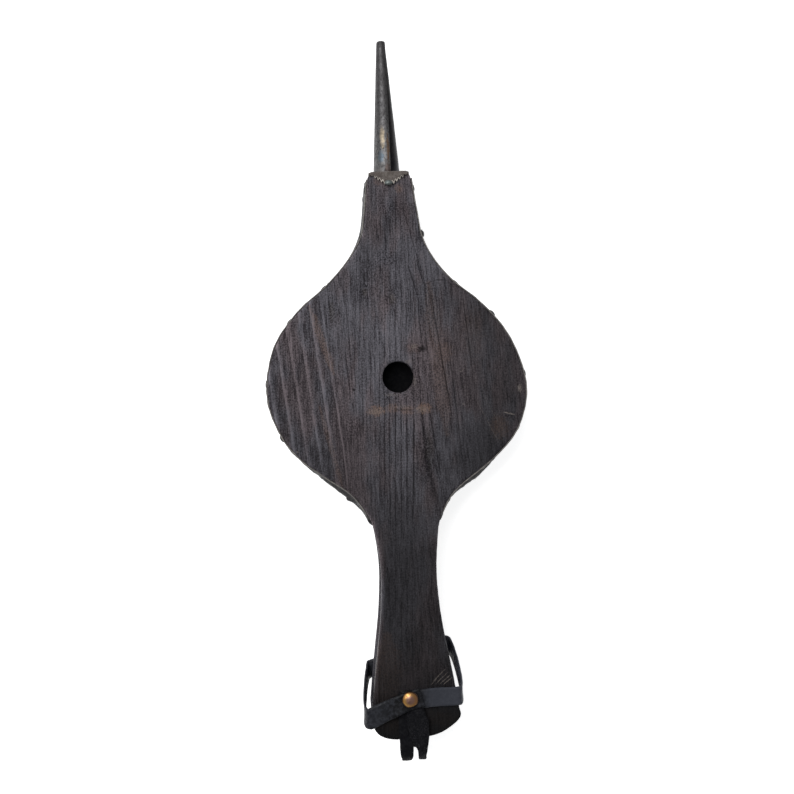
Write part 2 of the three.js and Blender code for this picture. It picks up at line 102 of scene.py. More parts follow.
def curve(points, count):
    """Evenly spaced points on a smooth line (a Catmull-Rom spline) through the given ones."""
    p = np.array(points, float)
    p = np.vstack([2 * p[0] - p[1], p, 2 * p[-1] - p[-2]])
    t = np.linspace(0, 1, SPAN_STEPS, endpoint=False)[:, None]
    spans = []
    for a, b, c, d in zip(p[:-3], p[1:-2], p[2:-1], p[3:]):
        spans.append(0.5 * (2 * b + (c - a) * t + (2 * a - 5 * b + 4 * c - d) * t**2
                            + (3 * b - a - 3 * c + d) * t**3))
    return evenly(np.vstack(spans + [p[-2:-1]]), count)


def distance_along(line):
    """How far each point of a line is from its start, measured along the line."""
    return np.concatenate([[0], np.cumsum(np.linalg.norm(np.diff(line, axis=0), axis=1))])


def evenly(line, count):
    """The same line, with its points moved to equal distances along it."""
    gone = distance_along(line)
    even = np.linspace(0, gone[-1], count)
    return np.stack([np.interp(even, gone, line[:, k]) for k in range(line.shape[1])], axis=1)


def unit(vectors):
    return vectors / np.linalg.norm(vectors, axis=-1, keepdims=True)


def build(name, points, faces, materials, index=None):
    """A smooth-shaded mesh object from points in millimetres and a list of face arrays. Points
    that no face uses are left out. Returns the object and the numbers of the points used."""
    points = np.asarray(points, float).reshape(-1, 3) * MM
    flat = np.concatenate([np.asarray(f).ravel() for f in faces])
    used, flat = np.unique(flat, return_inverse=True)
    sizes = np.concatenate([np.full(len(f), np.shape(f)[1]) for f in faces])
    mesh = bpy.data.meshes.new(name)
    mesh.vertices.add(len(used))
    mesh.vertices.foreach_set("co", points[used].ravel())
    mesh.loops.add(len(flat))
    mesh.loops.foreach_set("vertex_index", flat.astype(np.int32))
    mesh.polygons.add(len(sizes))
    starts = np.concatenate([[0], np.cumsum(sizes)[:-1]])
    mesh.polygons.foreach_set("loop_start", starts.astype(np.int32))
    mesh.polygons.foreach_set("use_smooth", np.ones(len(sizes), bool))
    for material in materials:
        mesh.materials.append(material)
    if index is not None:
        mesh.polygons.foreach_set("material_index", np.asarray(index, np.int32))
    mesh.update(calc_edges=True)
    mesh.validate()
    obj = bpy.data.objects.new(name, mesh)
    bpy.context.scene.collection.objects.link(obj)
    return obj, used


def quads(grid):
    """The faces of a grid of vertex numbers, facing the eye when columns run right, rows down."""
    corners = [grid[:-1, :-1], grid[1:, :-1], grid[1:, 1:], grid[:-1, 1:]]
    return np.stack(corners, axis=-1).reshape(-1, 4)


def sleeve(name, rings, materials):
    """A closed tube through rings of points [ring, point, xyz], with flat ends."""
    rows, around = rings.shape[:2]
    grid = np.arange(rows * around).reshape(rows, around)
    faces = [quads(np.hstack([grid, grid[:, :1]])), grid[:1], grid[-1:, ::-1]]
    obj, _ = build(name, rings, faces, materials)
    face_outward(obj)
    return obj


def face_outward(obj):
    """Turns a closed mesh's faces round if they face inward."""
    mesh = obj.data
    mesh.calc_loop_triangles()
    tri = np.zeros(len(mesh.loop_triangles) * 3, np.int32)
    mesh.loop_triangles.foreach_get("vertices", tri)
    co = np.zeros(len(mesh.vertices) * 3)
    mesh.vertices.foreach_get("co", co)
    a, b, c = co.reshape(-1, 3)[tri.reshape(-1, 3)].transpose(1, 0, 2)
    if np.einsum("ij,ij->i", a, np.cross(b, c)).sum() < 0:
        mesh.flip_normals()


def attribute(obj, name, values):
    layer = obj.data.attributes.new(name, "FLOAT", "POINT")
    layer.data.foreach_set("value", np.asarray(values, np.float32).ravel())


def punch(points, row, col, half_rows, half_cols, axes, centre, radius, spread=2.4):
    """Warps a grid so that a block of its cells has a round border, which a hole can follow."""
    rows, cols = points.shape[:2]
    b, a = np.meshgrid((np.arange(rows) - row) / half_rows, (np.arange(cols) - col) / half_cols,
                       indexing="ij")
    block = np.maximum(abs(a), abs(b))
    length = np.maximum(np.hypot(a, b), 1e-9)
    step_u = points[row, col + half_cols, axes[0]] - points[row, col, axes[0]]
    step_v = points[row + half_rows, col, axes[1]] - points[row, col, axes[1]]
    out = radius + (block - 1) * 0.5 * (abs(step_u) + abs(step_v))
    keep = rise(block, 1, spread)
    for axis, direction, middle, sense in ((axes[0], a, centre[0], np.sign(step_u)),
                                           (axes[1], b, centre[1], np.sign(step_v))):
        ring = middle + sense * direction / length * out
        points[..., axis] = ring * (1 - keep) + points[..., axis] * keep
    return block


def border(grid):
    """The vertex numbers round a grid's edge, clockwise when rows run down."""
    return np.concatenate([grid[0, :-1], grid[:-1, -1], grid[-1, :0:-1], grid[:0:-1, 0]])


def wall(upper, lower):
    """Faces between two closed loops of vertex numbers."""
    return np.stack([upper, np.roll(upper, -1), np.roll(lower, -1), lower], axis=-1)


# Shading -----------------------------------------------------------------------------------


class Wiring:
    """Adds shader nodes. An input may be a number, a colour, a vector or a node's output."""

    def __init__(self, tree):
        self.tree = tree

    def feed(self, socket, value):
        if isinstance(value, bpy.types.NodeSocket):
            self.tree.links.new(value, socket)
        elif isinstance(value, tuple) and len(value) == 3 and socket.type == "RGBA":
            socket.default_value = (*value, 1)
        else:
            socket.default_value = value

    def add(self, kind, inputs=None, **settings):
        node = self.tree.nodes.new("ShaderNode" + kind)
        for key, value in settings.items():
            setattr(node, key, value)
        for key, value in (inputs or {}).items():
            self.feed(node.inputs[key], value)
        return node

    def math(self, operation, *values):
        node = self.add("Math", operation=operation)
        for socket, value in zip(node.inputs, values):
            self.feed(socket, value)
        return node.outputs[0]

    def vector(self, operation, *values):
        node = self.add("VectorMath", operation=operation)
        for socket, value in zip(node.inputs, values):
            self.feed(socket, value)
        return node.outputs["Value" if operation in ("DOT_PRODUCT", "LENGTH") else "Vector"]

    def scaled(self, vector, factor):
        node = self.add("VectorMath", operation="SCALE")
        self.feed(node.inputs[0], vector)
        self.feed(node.inputs["Scale"], factor)
        return node.outputs["Vector"]

    def mix(self, factor, a, b, blend_type="MIX"):
        node = self.add("Mix", data_type="RGBA", blend_type=blend_type)
        for place, value in ((0, factor), (6, a), (7, b)):
            self.feed(node.inputs[place], value)
        return node.outputs[2]

    def climb(self, value, low, high, start=0.0, end=1.0):
        return self.add("MapRange", {"Value": value, "From Min": low, "From Max": high,
                                     "To Min": start, "To Max": end},
                        interpolation_type="SMOOTHSTEP").outputs[0]

    def noise(self, vector, scale, detail=3.0, roughness=0.55, distortion=0.0):
        return self.add("TexNoise", {"Vector": vector, "Scale": scale, "Detail": detail,
                                     "Roughness": roughness,
                                     "Distortion": distortion}).outputs[0]

    def reading(self, name):
        return self.add("Attribute", attribute_name=name).outputs["Fac"]

    def group(self, tree, inputs):
        node = self.tree.nodes.new("ShaderNodeGroup")
        node.node_tree = tree
        for key, value in inputs.items():
            self.feed(node.inputs[key], value)
        return node


def shared(name, inputs, outputs):
    """An empty node group with named sockets. Returns its wiring, its inputs and its output."""
    tree = bpy.data.node_groups.new(name, "ShaderNodeTree")
    kinds = {float: "NodeSocketFloat", tuple: "NodeSocketColor", Vector: "NodeSocketVector"}
    for key, value in inputs.items():
        socket = tree.interface.new_socket(name=key, in_out="INPUT",
                                           socket_type=kinds[type(value)])
        socket.default_value = (*value, 1) if isinstance(value, tuple) else value
    for key, kind in outputs.items():
        tree.interface.new_socket(name=key, in_out="OUTPUT", socket_type=kinds[kind])
    wiring = Wiring(tree)
    given = tree.nodes.new("NodeGroupInput").outputs
    return wiring, given, tree.nodes.new("NodeGroupOutput").inputs


def millimetres(w):
    """The point being shaded, in millimetres in the row frame."""
    return w.scaled(w.add("TexCoord").outputs["Object"], 1000.0)


def make_line_mark():
    """Mask of a thin mark along a straight segment, its edge roughened by noise."""
    w, given, result = shared("Line mark", {"Point": Vector(), "From": Vector(), "To": Vector(),
                                            "Width": 1.0, "Waver": 1.0}, {"Mask": float})
    wobble = w.noise(w.vector("MULTIPLY", given["Point"], Vector((0.2, 0.07, 0))), 1.0, 4.0)
    shift = w.math("MULTIPLY", w.math("SUBTRACT", wobble, 0.5), given["Waver"])
    sideways = w.add("CombineXYZ", {"X": w.math("MULTIPLY", shift, 4.0)}).outputs[0]
    flat = w.vector("MULTIPLY", w.vector("ADD", given["Point"], sideways), Vector((1, 1, 0)))
    start = w.vector("SUBTRACT", flat, given["From"])
    whole = w.vector("SUBTRACT", given["To"], given["From"])
    share = w.math("DIVIDE", w.vector("DOT_PRODUCT", start, whole),
                   w.vector("DOT_PRODUCT", whole, whole))
    near = w.scaled(whole, w.add("Clamp", {"Value": share}).outputs[0])
    distance = w.vector("LENGTH", w.vector("SUBTRACT", start, near))
    taper = w.climb(w.math("ABSOLUTE", w.math("SUBTRACT", share, 0.5)), 0.5, 0.25, 0.35, 1.0)
    reach = w.math("MULTIPLY", w.math("MULTIPLY", given["Width"], taper),
                   w.climb(w.noise(given["Point"], 0.9, 2.0), 0.3, 0.6, 0.55, 1.1))
    w.feed(result["Mask"], w.climb(w.math("DIVIDE", distance, reach), 1.0, 0.35))
    return w.tree


def make_soft_spot():
    """Mask of an oval patch with a ragged border."""
    w, given, result = shared("Soft spot", {"Point": Vector(), "Centre": Vector(),
                                            "Size": Vector((1, 1, 1)), "Ragged": 0.75},
                              {"Mask": float})
    flat = w.vector("MULTIPLY", w.vector("SUBTRACT", given["Point"], given["Centre"]),
                    Vector((1, 1, 0)))
    far = w.vector("LENGTH", w.vector("DIVIDE", flat, given["Size"]))
    torn = w.noise(w.vector("MULTIPLY", given["Point"], Vector((0.55, 0.4, 0.5))), 1.0, 5.0, 0.8)
    torn = w.math("MULTIPLY", w.math("SUBTRACT", torn, 0.5),
                  w.math("MULTIPLY", given["Ragged"], 3.0))
    w.feed(result["Mask"], w.climb(w.math("ADD", far, torn), 1.0, 0.35))
    return w.tree


LINE_MARK = make_line_mark()
SOFT_SPOT = make_soft_spot()


def growth_lines(w, phase, broad, grooves, point):
    """Signed strength of the growth lines: pale sharp-edged ridges that fade off to the right where
    they lie far apart, partly the ridges themselves and partly a painted sheen and painted shade as
    if lit from the left, and thin dark grooves where they lie close. A line lies at each whole
    phase."""
    stray = w.noise(w.vector("MULTIPLY", point, Vector((0.3, 0.05, 0.3))), 1.0, 4.0, 0.6)
    part = w.math("FRACT", w.math("ADD", phase, w.math("MULTIPLY", stray, 0.16)))
    patches = w.noise(w.vector("MULTIPLY", point, Vector((0.12, 0.03, 0.12))), 1.0)
    strength = w.climb(patches, 0.3, 0.7, 0.4, 1.0)
    # Painted highlight and shade: a bright edge on each ridge that fades away to its right.
    ridge_and_sheen = w.math("MULTIPLY", w.climb(part, 0.0, 0.05), w.climb(part, 0.05, 0.42, 1.0, 0.0))
    ridge_and_sheen = w.math("SUBTRACT", w.math("MULTIPLY", ridge_and_sheen, strength), 0.22)
    groove = w.climb(w.math("ABSOLUTE", w.math("SUBTRACT", part, 0.5)), 0.02, 0.17, -0.75, 0.06)
    groove = w.math("MULTIPLY", w.math("MULTIPLY", groove, strength), grooves)
    return w.math("ADD", w.math("MULTIPLY", ridge_and_sheen, broad),
                  w.math("MULTIPLY", groove, w.math("SUBTRACT", 1.0, broad)))


def make_old_wood():
    """Dark stained softwood: fibres, growth lines whose ridges carry a painted sheen, red and worn
    places, cracks and pores.
    """
    w, given, result = shared("Old softwood", {
        "Point": Vector(), "Phase": 0.25, "Broad": 0.0, "Grooves": 0.6, "Tone and painted light": 1.0,
        "Red": 0.0, "Worn": 0.0, "Dark": 0.0, "Pitted": 0.0,
        "Deep colour": (0.012, 0.010, 0.0115), "Light colour": (0.118, 0.108, 0.115),
        "Red colour": (0.150, 0.092, 0.066), "Worn colour": (0.22, 0.19, 0.17)},
        {"Color": tuple, "Roughness": float, "Normal": Vector})
    point = given["Point"]
    ring = growth_lines(w, given["Phase"], given["Broad"], given["Grooves"], point)
    fibre = w.noise(w.vector("MULTIPLY", point, Vector((0.5, 0.04, 0.5))), 1.0, 6.0, 0.8, 0.4)
    hair = w.noise(w.vector("MULTIPLY", point, Vector((1.5, 0.07, 1.5))), 1.0, 3.0, 0.7)
    speckle = w.noise(w.vector("MULTIPLY", point, Vector((1.0, 0.75, 1.0))), 1.0, 4.0, 0.75)
    cloud = w.noise(w.vector("MULTIPLY", point, Vector((0.06, 0.03, 0.06))), 1.0, 4.0, 0.6)
    warmth = w.noise(w.vector("MULTIPLY", point, Vector((0.045, 0.014, 0.045))), 1.0, 3.0, 0.6)
    # The growth lines' painted ridge sheen goes into the colour here, besides the bump.
    amount = w.math("ADD", w.climb(fibre, 0.28, 0.74, 0.16, 0.76), w.math("MULTIPLY", ring, 0.74))
    amount = w.math("ADD", amount, w.climb(hair, 0.3, 0.7, -0.22, 0.22))
    amount = w.math("ADD", amount, w.climb(cloud, 0.3, 0.7, -0.12, 0.12))
    grit = w.math("ADD", 0.36, w.math("MULTIPLY", given["Pitted"], 0.5))
    amount = w.math("ADD", amount, w.math("MULTIPLY", w.climb(speckle, 0.3, 0.7, -1.0, 1.0), grit))
    amount = w.add("Clamp", {"Value": amount}).outputs[0]
    colour = w.mix(amount, given["Deep colour"], given["Light colour"])
    tint = w.mix(w.climb(warmth, 0.42, 0.62), (0.95, 0.995, 1.07), (1.08, 0.975, 0.99))
    colour = w.mix(1.0, colour, tint, "MULTIPLY")
    red = w.math("MULTIPLY", given["Red"], w.climb(speckle, 0.40, 0.60, 0.12, 0.9))
    colour = w.mix(red, colour, given["Red colour"])
    # The tone input scales the colour; on the front board it carries painted light and shade as
    # well as the wood's own tone.
    keep = w.math("MULTIPLY", given["Tone and painted light"], w.math("SUBTRACT", 1.0, given["Dark"]))
    worn = w.math("MULTIPLY", given["Worn"], w.climb(speckle, 0.38, 0.58, 0.2, 1.0))
    w.feed(result["Color"], w.mix(worn, w.scaled(colour, keep), given["Worn colour"]))
    gloss = w.math("ADD", w.climb(fibre, 0.3, 0.7, 0.62, 0.50),
                   w.math("MULTIPLY", given["Dark"], 0.25))
    w.feed(result["Roughness"], w.math("ADD", gloss, w.math("MULTIPLY", given["Worn"], 0.15)))
    height = w.math("ADD", w.math("MULTIPLY", fibre, 0.8), w.math("MULTIPLY", hair, 0.35))
    height = w.math("SUBTRACT", height, w.math("MULTIPLY", given["Dark"], 1.3))
    height = w.math("ADD", height, w.math("MULTIPLY", speckle, w.math("MULTIPLY", grit, 2.4)))
    height = w.math("ADD", height, w.math("MULTIPLY", ring, 0.5))
    bump = w.add("Bump", {"Height": height, "Strength": 0.9, "Distance": 0.0008})
    w.feed(result["Normal"], bump.outputs[0])
    return w.tree


def make_hide():
    """Leather: pebbled grain, fine creases, worn high places, and a suede nap where asked."""
    w, given, result = shared("Hide", {
        "Point": Vector(), "Colour": (0.02, 0.02, 0.023), "Worn colour": (0.09, 0.085, 0.09),
        "Wear": 0.3, "Nap": 0.0, "Gloss": 0.5, "Relief": 1.0},
        {"Color": tuple, "Roughness": float, "Normal": Vector})
    pebbles = w.add("TexVoronoi", {"Vector": given["Point"], "Scale": 1.5}).outputs["Distance"]
    creases = w.noise(given["Point"], 0.35, 5.0, 0.62, 0.6)
    nap = w.noise(given["Point"], 1.0, 5.0, 0.85)
    worn = w.math("MULTIPLY", w.climb(creases, 0.42, 0.66), given["Wear"])
    rough = w.math("MULTIPLY", w.climb(nap, 0.50, 0.70), given["Nap"])
    colour = w.mix(w.math("MAXIMUM", worn, rough), given["Colour"], given["Worn colour"])
    w.feed(result["Color"], colour)
    w.feed(result["Roughness"], w.math("ADD", given["Gloss"],
                                       w.climb(creases, 0.3, 0.7, 0.1, -0.1)))
    height = w.math("ADD", w.math("MULTIPLY", pebbles, -0.25), w.math("MULTIPLY", creases, 0.9))
    height = w.math("ADD", height, w.math("MULTIPLY", w.math("MULTIPLY", nap, given["Nap"]), 1.2))
    bump = w.add("Bump", {"Height": height, "Strength": w.math("MULTIPLY", given["Relief"], 0.6),
                          "Distance": 0.0005})
    w.feed(result["Normal"], bump.outputs[0])
    return w.tree


def make_aged_metal():
    """Metal with mottled oxide and a slightly beaten surface."""
    w, given, result = shared("Aged metal", {
        "Point": Vector(), "Colour": (0.2, 0.2, 0.21), "Oxide colour": (0.05, 0.035, 0.03),
        "Oxide": 0.5, "Gloss": 0.4, "Grain": 0.25},
        {"Color": tuple, "Roughness": float, "Metallic": float, "Normal": Vector})
    patches = w.noise(given["Point"], given["Grain"], 5.0, 0.65, 0.4)
    fine = w.noise(given["Point"], 1.4, 3.0)
    cover = w.math("MULTIPLY", w.climb(patches, 0.36, 0.64), given["Oxide"])
    cover = w.math("MAXIMUM", cover, w.math("MULTIPLY", w.climb(fine, 0.58, 0.72), given["Oxide"]))
    w.feed(result["Color"], w.mix(cover, given["Colour"], given["Oxide colour"]))
    w.feed(result["Roughness"], w.math("ADD", given["Gloss"], w.math("MULTIPLY", cover, 0.3)))
    w.feed(result["Metallic"], w.math("SUBTRACT", 1.0, w.math("MULTIPLY", cover, 0.85)))
    height = w.math("ADD", patches, w.math("MULTIPLY", fine, 0.3))
    bump = w.add("Bump", {"Height": height, "Strength": 0.35, "Distance": 0.0004})
    w.feed(result["Normal"], bump.outputs[0])
    return w.tree


OLD_WOOD = make_old_wood()
HIDE = make_hide()
AGED_METAL = make_aged_metal()


def material(name, tree, settings, **shader):
    """A material whose surface is one shared group, fed with these settings."""
    made = bpy.data.materials.new(name)
    made.use_nodes = True
    w = Wiring(made.node_tree)
    surface = next(n for n in made.node_tree.nodes if n.type == "BSDF_PRINCIPLED")
    point = millimetres(w)
    settings = {key: value(w, point) if callable(value) else value
                for key, value in settings.items()}
    looks = w.group(tree, {"Point": point, **settings})
    for output, place in (("Color", "Base Color"), ("Roughness", "Roughness"),
                          ("Metallic", "Metallic"), ("Normal", "Normal")):
        if output in looks.outputs:
            w.feed(surface.inputs[place], looks.outputs[output])
    for key, value in shader.items():
        w.feed(surface.inputs[key.replace("_", " ")], value)
    return made


def lines(w, point, marks):
    """The strongest of several line marks. Each is (x, y, x, y, width, strength)."""
    total = 0.0
    for x0, y0, x1, y1, width, strength in marks:
        mask = w.group(LINE_MARK, {"Point": point, "From": (x0, y0, 0), "To": (x1, y1, 0),
                                   "Width": width, "Waver": 0.35}).outputs[0]
        total = w.math("MAXIMUM", total, w.math("MULTIPLY", mask, strength))
    return total


def spots(w, point, marks):
    """The strongest of several soft spots. Each is (x, y, half width, half height, strength)."""
    total = 0.0
    for x, y, wide, tall, strength in marks:
        mask = w.group(SOFT_SPOT, {"Point": point, "Centre": (x, y, 0),
                                   "Size": (wide, tall, 1)}).outputs[0]
        total = w.math("MAXIMUM", total, w.math("MULTIPLY", mask, strength))
    return total


def front_red(w, point):
    streak = lines(w, point, [(27, 72, 36, -46, 9.0, 0.26), (-66, 58, -50, 5, 4.5, 0.4),
                              (-62, -20, -47, -84, 3.0, 0.3), (-18, -200, -20, -262, 15, 0.5)])
    return w.math("MAXIMUM", streak, spots(w, point, [
        (76.8, -42.4, 9, 12, 0.6), (-18, -25.5, 9, 5.5, 0.9), (-6, -24, 7, 4.5, 0.5),
        (6, -26, 7, 4.5, 0.6), (19, -25, 8, 5.5, 0.9), (-18, -268, 14, 10, 0.6),
        (20, -266, 16, 8, 0.5), (36, 18, 9, 12, 0.4), (13, 22, 7, 5, 0.3), (7, 146, 4, 5, 0.5),
        (-8, 152, 6, 4, 0.4), (60, 30, 12, 30, 0.2)]))


def front_pitted(w, point):
    return spots(w, point, [
        (20, -60, 7, 26, 0.9), (-49, 53, 5, 15, 0.8), (-22.7, 67, 6, 8, 0.8), (-2, 60, 6, 10, 0.9),
        (14, 22, 9, 6, 0.8), (2, -15, 20, 7, 0.5), (16, 4, 7, 12, 0.5), (-6, 92, 14, 8, 0.6),
        (-36, -36, 8, 8, 0.5), (0, 130, 12, 10, 0.4), (88, -34, 10, 4, 0.6)])


def front_worn(w, point):
    scrape = lines(w, point, [
        (81, -31, 89.7, -33.4, 0.8, 0.6), (59.4, -19.8, 77.7, -57.9, 0.35, 0.2),
        (64, -14, 80, -46, 0.3, 0.16), (46.5, 3.5, 49.3, 1.8, 0.6, 0.35),
        (49.3, 1.8, 51.5, 4.5, 0.6, 0.35), (16, -237, 24, -230, 0.5, 0.45),
        (18, -239, 28, -230.5, 0.5, 0.5), (21, -239.5, 29.5, -233, 0.5, 0.55),
        (24, -240, 30.5, -235, 0.5, 0.5), (19, -234, 26, -228, 0.4, 0.4),
        (14, -240, 19, -235, 0.4, 0.35)])
    return w.math("MAXIMUM", scrape, spots(w, point, [
        (94.4, -12.9, 2.2, 4, 0.6), (-80.4, -54.3, 1.1, 0.9, 0.7), (13.3, 23.5, 3.2, 2.2, 0.45),
        (49.9, -23.2, 1.4, 1.1, 0.3), (-22.7, 67, 3, 4, 0.2), (-2, 60, 4, 5, 0.2),
        (-49, 53, 3, 10, 0.14), (22, -55, 4, 20, 0.10), (-19, -26, 8, 3.4, 0.34),
        (17, -26, 7, 3.2, 0.3), (2, -23.5, 8, 2.6, 0.2), (8.5, 11.5, 4, 2.2, 0.3),
        (12.5, -4, 2, 6, 0.25), (-6, -13.5, 7, 1.6, 0.25)]))


def front_dark(w, point):
    cracks = lines(w, point, [
        (28.1, 65.5, 41.3, -39.9, 0.7, 0.6), (52.6, 66.6, 58.1, 2, 0.5, 0.5),
        (11.6, 86.4, 17.9, 62.9, 0.6, 0.6), (18.4, 90, 23.6, 69.6, 0.6, 0.6),
        (11.1, 125.2, 27.4, 58.5, 0.5, 0.4), (39.4, 34.7, 46.7, -58.8, 0.5, 0.5),
        (24.9, 71.1, 33, 74, 0.5, 0.35), (33, 74, 41.2, 73.4, 0.5, 0.35),
        (41.2, 73.4, 47.1, 66.9, 0.5, 0.35), (16, -34, 28.6, -81, 1.2, 0.35),
        (-3, -25.4, 10, -25.9, 1.1, 0.35), (-15.5, -147, -14.3, -159, 1.4, 0.5)])
    return w.math("MAXIMUM", cracks, spots(w, point, [
        (19.4, 20.9, 4, 3, 0.7), (-34.8, -8.4, 1.4, 1.4, 0.85), (-22.7, 67, 4, 6, 0.4),
        (-2, 60, 4.5, 6.5, 0.4), (-49, 53, 4, 14, 0.3), (22, -57, 6, 22, 0.3),
        (-22, 78, 3, 5, 0.35), (-6, 110, 5, 12, 0.25), (3, 132, 4, 8, 0.25)]))


def reading(name):
    """A setting read from a mesh attribute, for material()."""
    return lambda w, point: w.reading(name)


def back_red(w, point):
    return spots(w, point, [(-40, 10, 20, 40, 0.35), (10, -210, 10, 40, 0.4)])


def back_dark(w, point):
    return lines(w, point, [(-30, 60, -36, -50, 0.8, 0.8), (25, 40, 29, -30, 0.6, 0.7),
                            (2, -140, 4, -230, 0.6, 0.6)])


def straight_phase(w, point):
    """Straight growth lines about 4.5 mm apart."""
    across = w.add("SeparateXYZ", {"Vector": point}).outputs["X"]
    return w.math("MULTIPLY", across, 0.22)


# The stained wood hardly shines, so its specular level is well below the usual 0.5.
STAINED_SHINE = 0.14
GROWN = {"Phase": reading("phase"), "Broad": reading("broad"), "Grooves": reading("grooves"),
         "Tone and painted light": reading("tone_and_painted_light")}
FRONT_WOOD = material("front board wood", OLD_WOOD, {
    **GROWN, "Red": front_red, "Worn": front_worn, "Dark": front_dark, "Pitted": front_pitted},
    Specular_IOR_Level=STAINED_SHINE)
BACK_WOOD = material("back board wood", OLD_WOOD, {**GROWN, "Red": back_red, "Dark": back_dark},
                     Specular_IOR_Level=STAINED_SHINE)
PLAIN_WOOD = material("unstained inside wood", OLD_WOOD, {
    "Phase": straight_phase, "Deep colour": (0.13, 0.075, 0.04),
    "Light colour": (0.36, 0.24, 0.14)}, Specular_IOR_Level=0.3)
BLOCK_WOOD = material("nozzle block wood", OLD_WOOD, {"Grooves": 0.3, "Tone and painted light": 0.6},
                      Specular_IOR_Level=STAINED_SHINE)
# Black leather, darkened all over as painted shade for its shaded folds at the lower shoulders.
GUSSET_HIDE = material("gusset leather", HIDE, {
    "Colour": (0.0085, 0.008, 0.009), "Worn colour": (0.034, 0.031, 0.031), "Wear": 0.55,
    "Gloss": 0.55}, Specular_IOR_Level=0.25)
# The leather's raw cut edge, made paler still as a painted highlight: it gives the thin pale line
# along the boards' edges.
RAW_EDGE_WITH_HIGHLIGHT = material("raw leather edge with painted highlight", HIDE, {
    "Colour": (0.125, 0.116, 0.112), "Worn colour": (0.24, 0.222, 0.205), "Wear": 0.7,
    "Gloss": 0.8}, Specular_IOR_Level=0.2)


def strap_colour_with_painted_sheen(w, point):
    """Darkest by the tack, greyer towards both ends of the run over the handle: the greyer ends are
    a painted sheen, strongest on the flat run to the right, and the dark middle over the sloping
    run by the tack is painted shade.
    """
    place = w.add("SeparateXYZ", {"Vector": point}).outputs["X"]
    # Painted sheen and shade: lighter on the flat run to the right and further left, darkest over
    # the sloping run by the tack.
    left = w.mix(w.climb(place, -12.0, -30.0), (0.0015, 0.0015, 0.0022), (0.0095, 0.0102, 0.0135))
    return w.mix(w.climb(place, 3.0, 16.0), left, (0.034, 0.0365, 0.046))


STRAP_HIDE = material("strap leather", HIDE, {
    "Colour": strap_colour_with_painted_sheen, "Worn colour": (0.055, 0.058, 0.070), "Wear": 0.35, "Nap": 0.16,
    "Gloss": 0.45, "Relief": 0.8}, Specular_IOR_Level=0.16)
THONG_HIDE = material("thong leather", HIDE, {
    "Colour": (0.0028, 0.0028, 0.004), "Worn colour": (0.045, 0.045, 0.050),
    "Nap": reading("nap"), "Wear": 0.1, "Gloss": 0.8}, Specular_IOR_Level=0.1)
# Near-black valve leather: seen through the air hole, the flap stands in for the hole's deep shade,
# so its colour is darkened as painted shade.
VALVE_HIDE = material("valve leather", HIDE, {
    "Colour": (0.0018, 0.0018, 0.0024), "Worn colour": (0.005, 0.0048, 0.005), "Gloss": 0.85},
    Specular_IOR_Level=0.06)
NOSE_HIDE = material("nose leather", HIDE, {
    "Colour": (0.070, 0.058, 0.052), "Worn colour": (0.135, 0.118, 0.106), "Wear": 0.7,
    "Nap": 0.4, "Gloss": 0.75}, Specular_IOR_Level=0.25)
PALE_TRIM = material("pinked edge of the nose leather", HIDE, {
    "Colour": (0.30, 0.27, 0.24), "Worn colour": (0.5, 0.47, 0.42), "Wear": 0.6, "Gloss": 0.8})
TACK_IRON = material("tack iron", AGED_METAL, {
    "Colour": (0.08, 0.082, 0.086), "Oxide colour": (0.022, 0.018, 0.016), "Oxide": 0.7,
    "Gloss": 0.42, "Grain": 0.5})
GREEN_IRON = material("nose tack iron", AGED_METAL, {
    "Colour": (0.17, 0.19, 0.185), "Oxide colour": (0.04, 0.05, 0.048), "Oxide": 0.6,
    "Gloss": 0.4, "Grain": 0.9})


def nozzle_colour_and_shade(w, point):
    """Grey, mottled blue, tan and brown near the base, and painted shade right of the seam, nearly
    black where the cone turns away from the light on the left.
    """
    place = w.add("SeparateXYZ", {"Vector": point}).outputs
    upward = w.climb(place["Y"], 165.0, 225.0)
    colour = w.mix(upward, (0.135, 0.133, 0.134), (0.078, 0.076, 0.078))
    mottle = w.noise(w.vector("MULTIPLY", point, Vector((0.9, 0.35, 0.9))), 1.0, 4.0, 0.7)
    colour = w.mix(w.climb(mottle, 0.48, 0.64), colour, (0.032, 0.031, 0.033))
    for x, y, wide, tall, strength, tint in (
            (-2.6, 191, 2.4, 11, 0.9, (0.24, 0.20, 0.145)),
            (-4.4, 175, 3.4, 6, 0.8, (0.09, 0.12, 0.15)),
            (1.4, 182, 1.5, 15, 0.75, (0.13, 0.075, 0.042)),
            (0.6, 165, 3.2, 9, 0.75, (0.060, 0.040, 0.034)),
            (-6.0, 163, 3.0, 5, 0.5, (0.17, 0.15, 0.145))):
        mask = spots(w, point, [(x, y, wide, tall, strength)])
        colour = w.mix(mask, colour, tint)
    # Painted shade: right of the lap seam the iron is painted nearly black, as the side turned away
    # from the light.
    edge = w.climb(place["Y"], 158.0, 230.0, 2.8, 3.3)
    right_of_seam_in_shade = w.climb(w.math("SUBTRACT", place["X"], edge), -0.3, 0.3)
    shade = w.mix(w.climb(place["X"], 3.0, 9.0), (0.010, 0.0095, 0.011), (0.030, 0.029, 0.032))
    return w.mix(right_of_seam_in_shade, colour, shade)


NOZZLE_IRON = material("nozzle sheet iron", AGED_METAL, {
    "Colour": nozzle_colour_and_shade, "Oxide colour": (0.030, 0.027, 0.027), "Oxide": 0.35, "Gloss": 0.46,
    "Grain": 0.22}, Specular_IOR_Level=0.2)


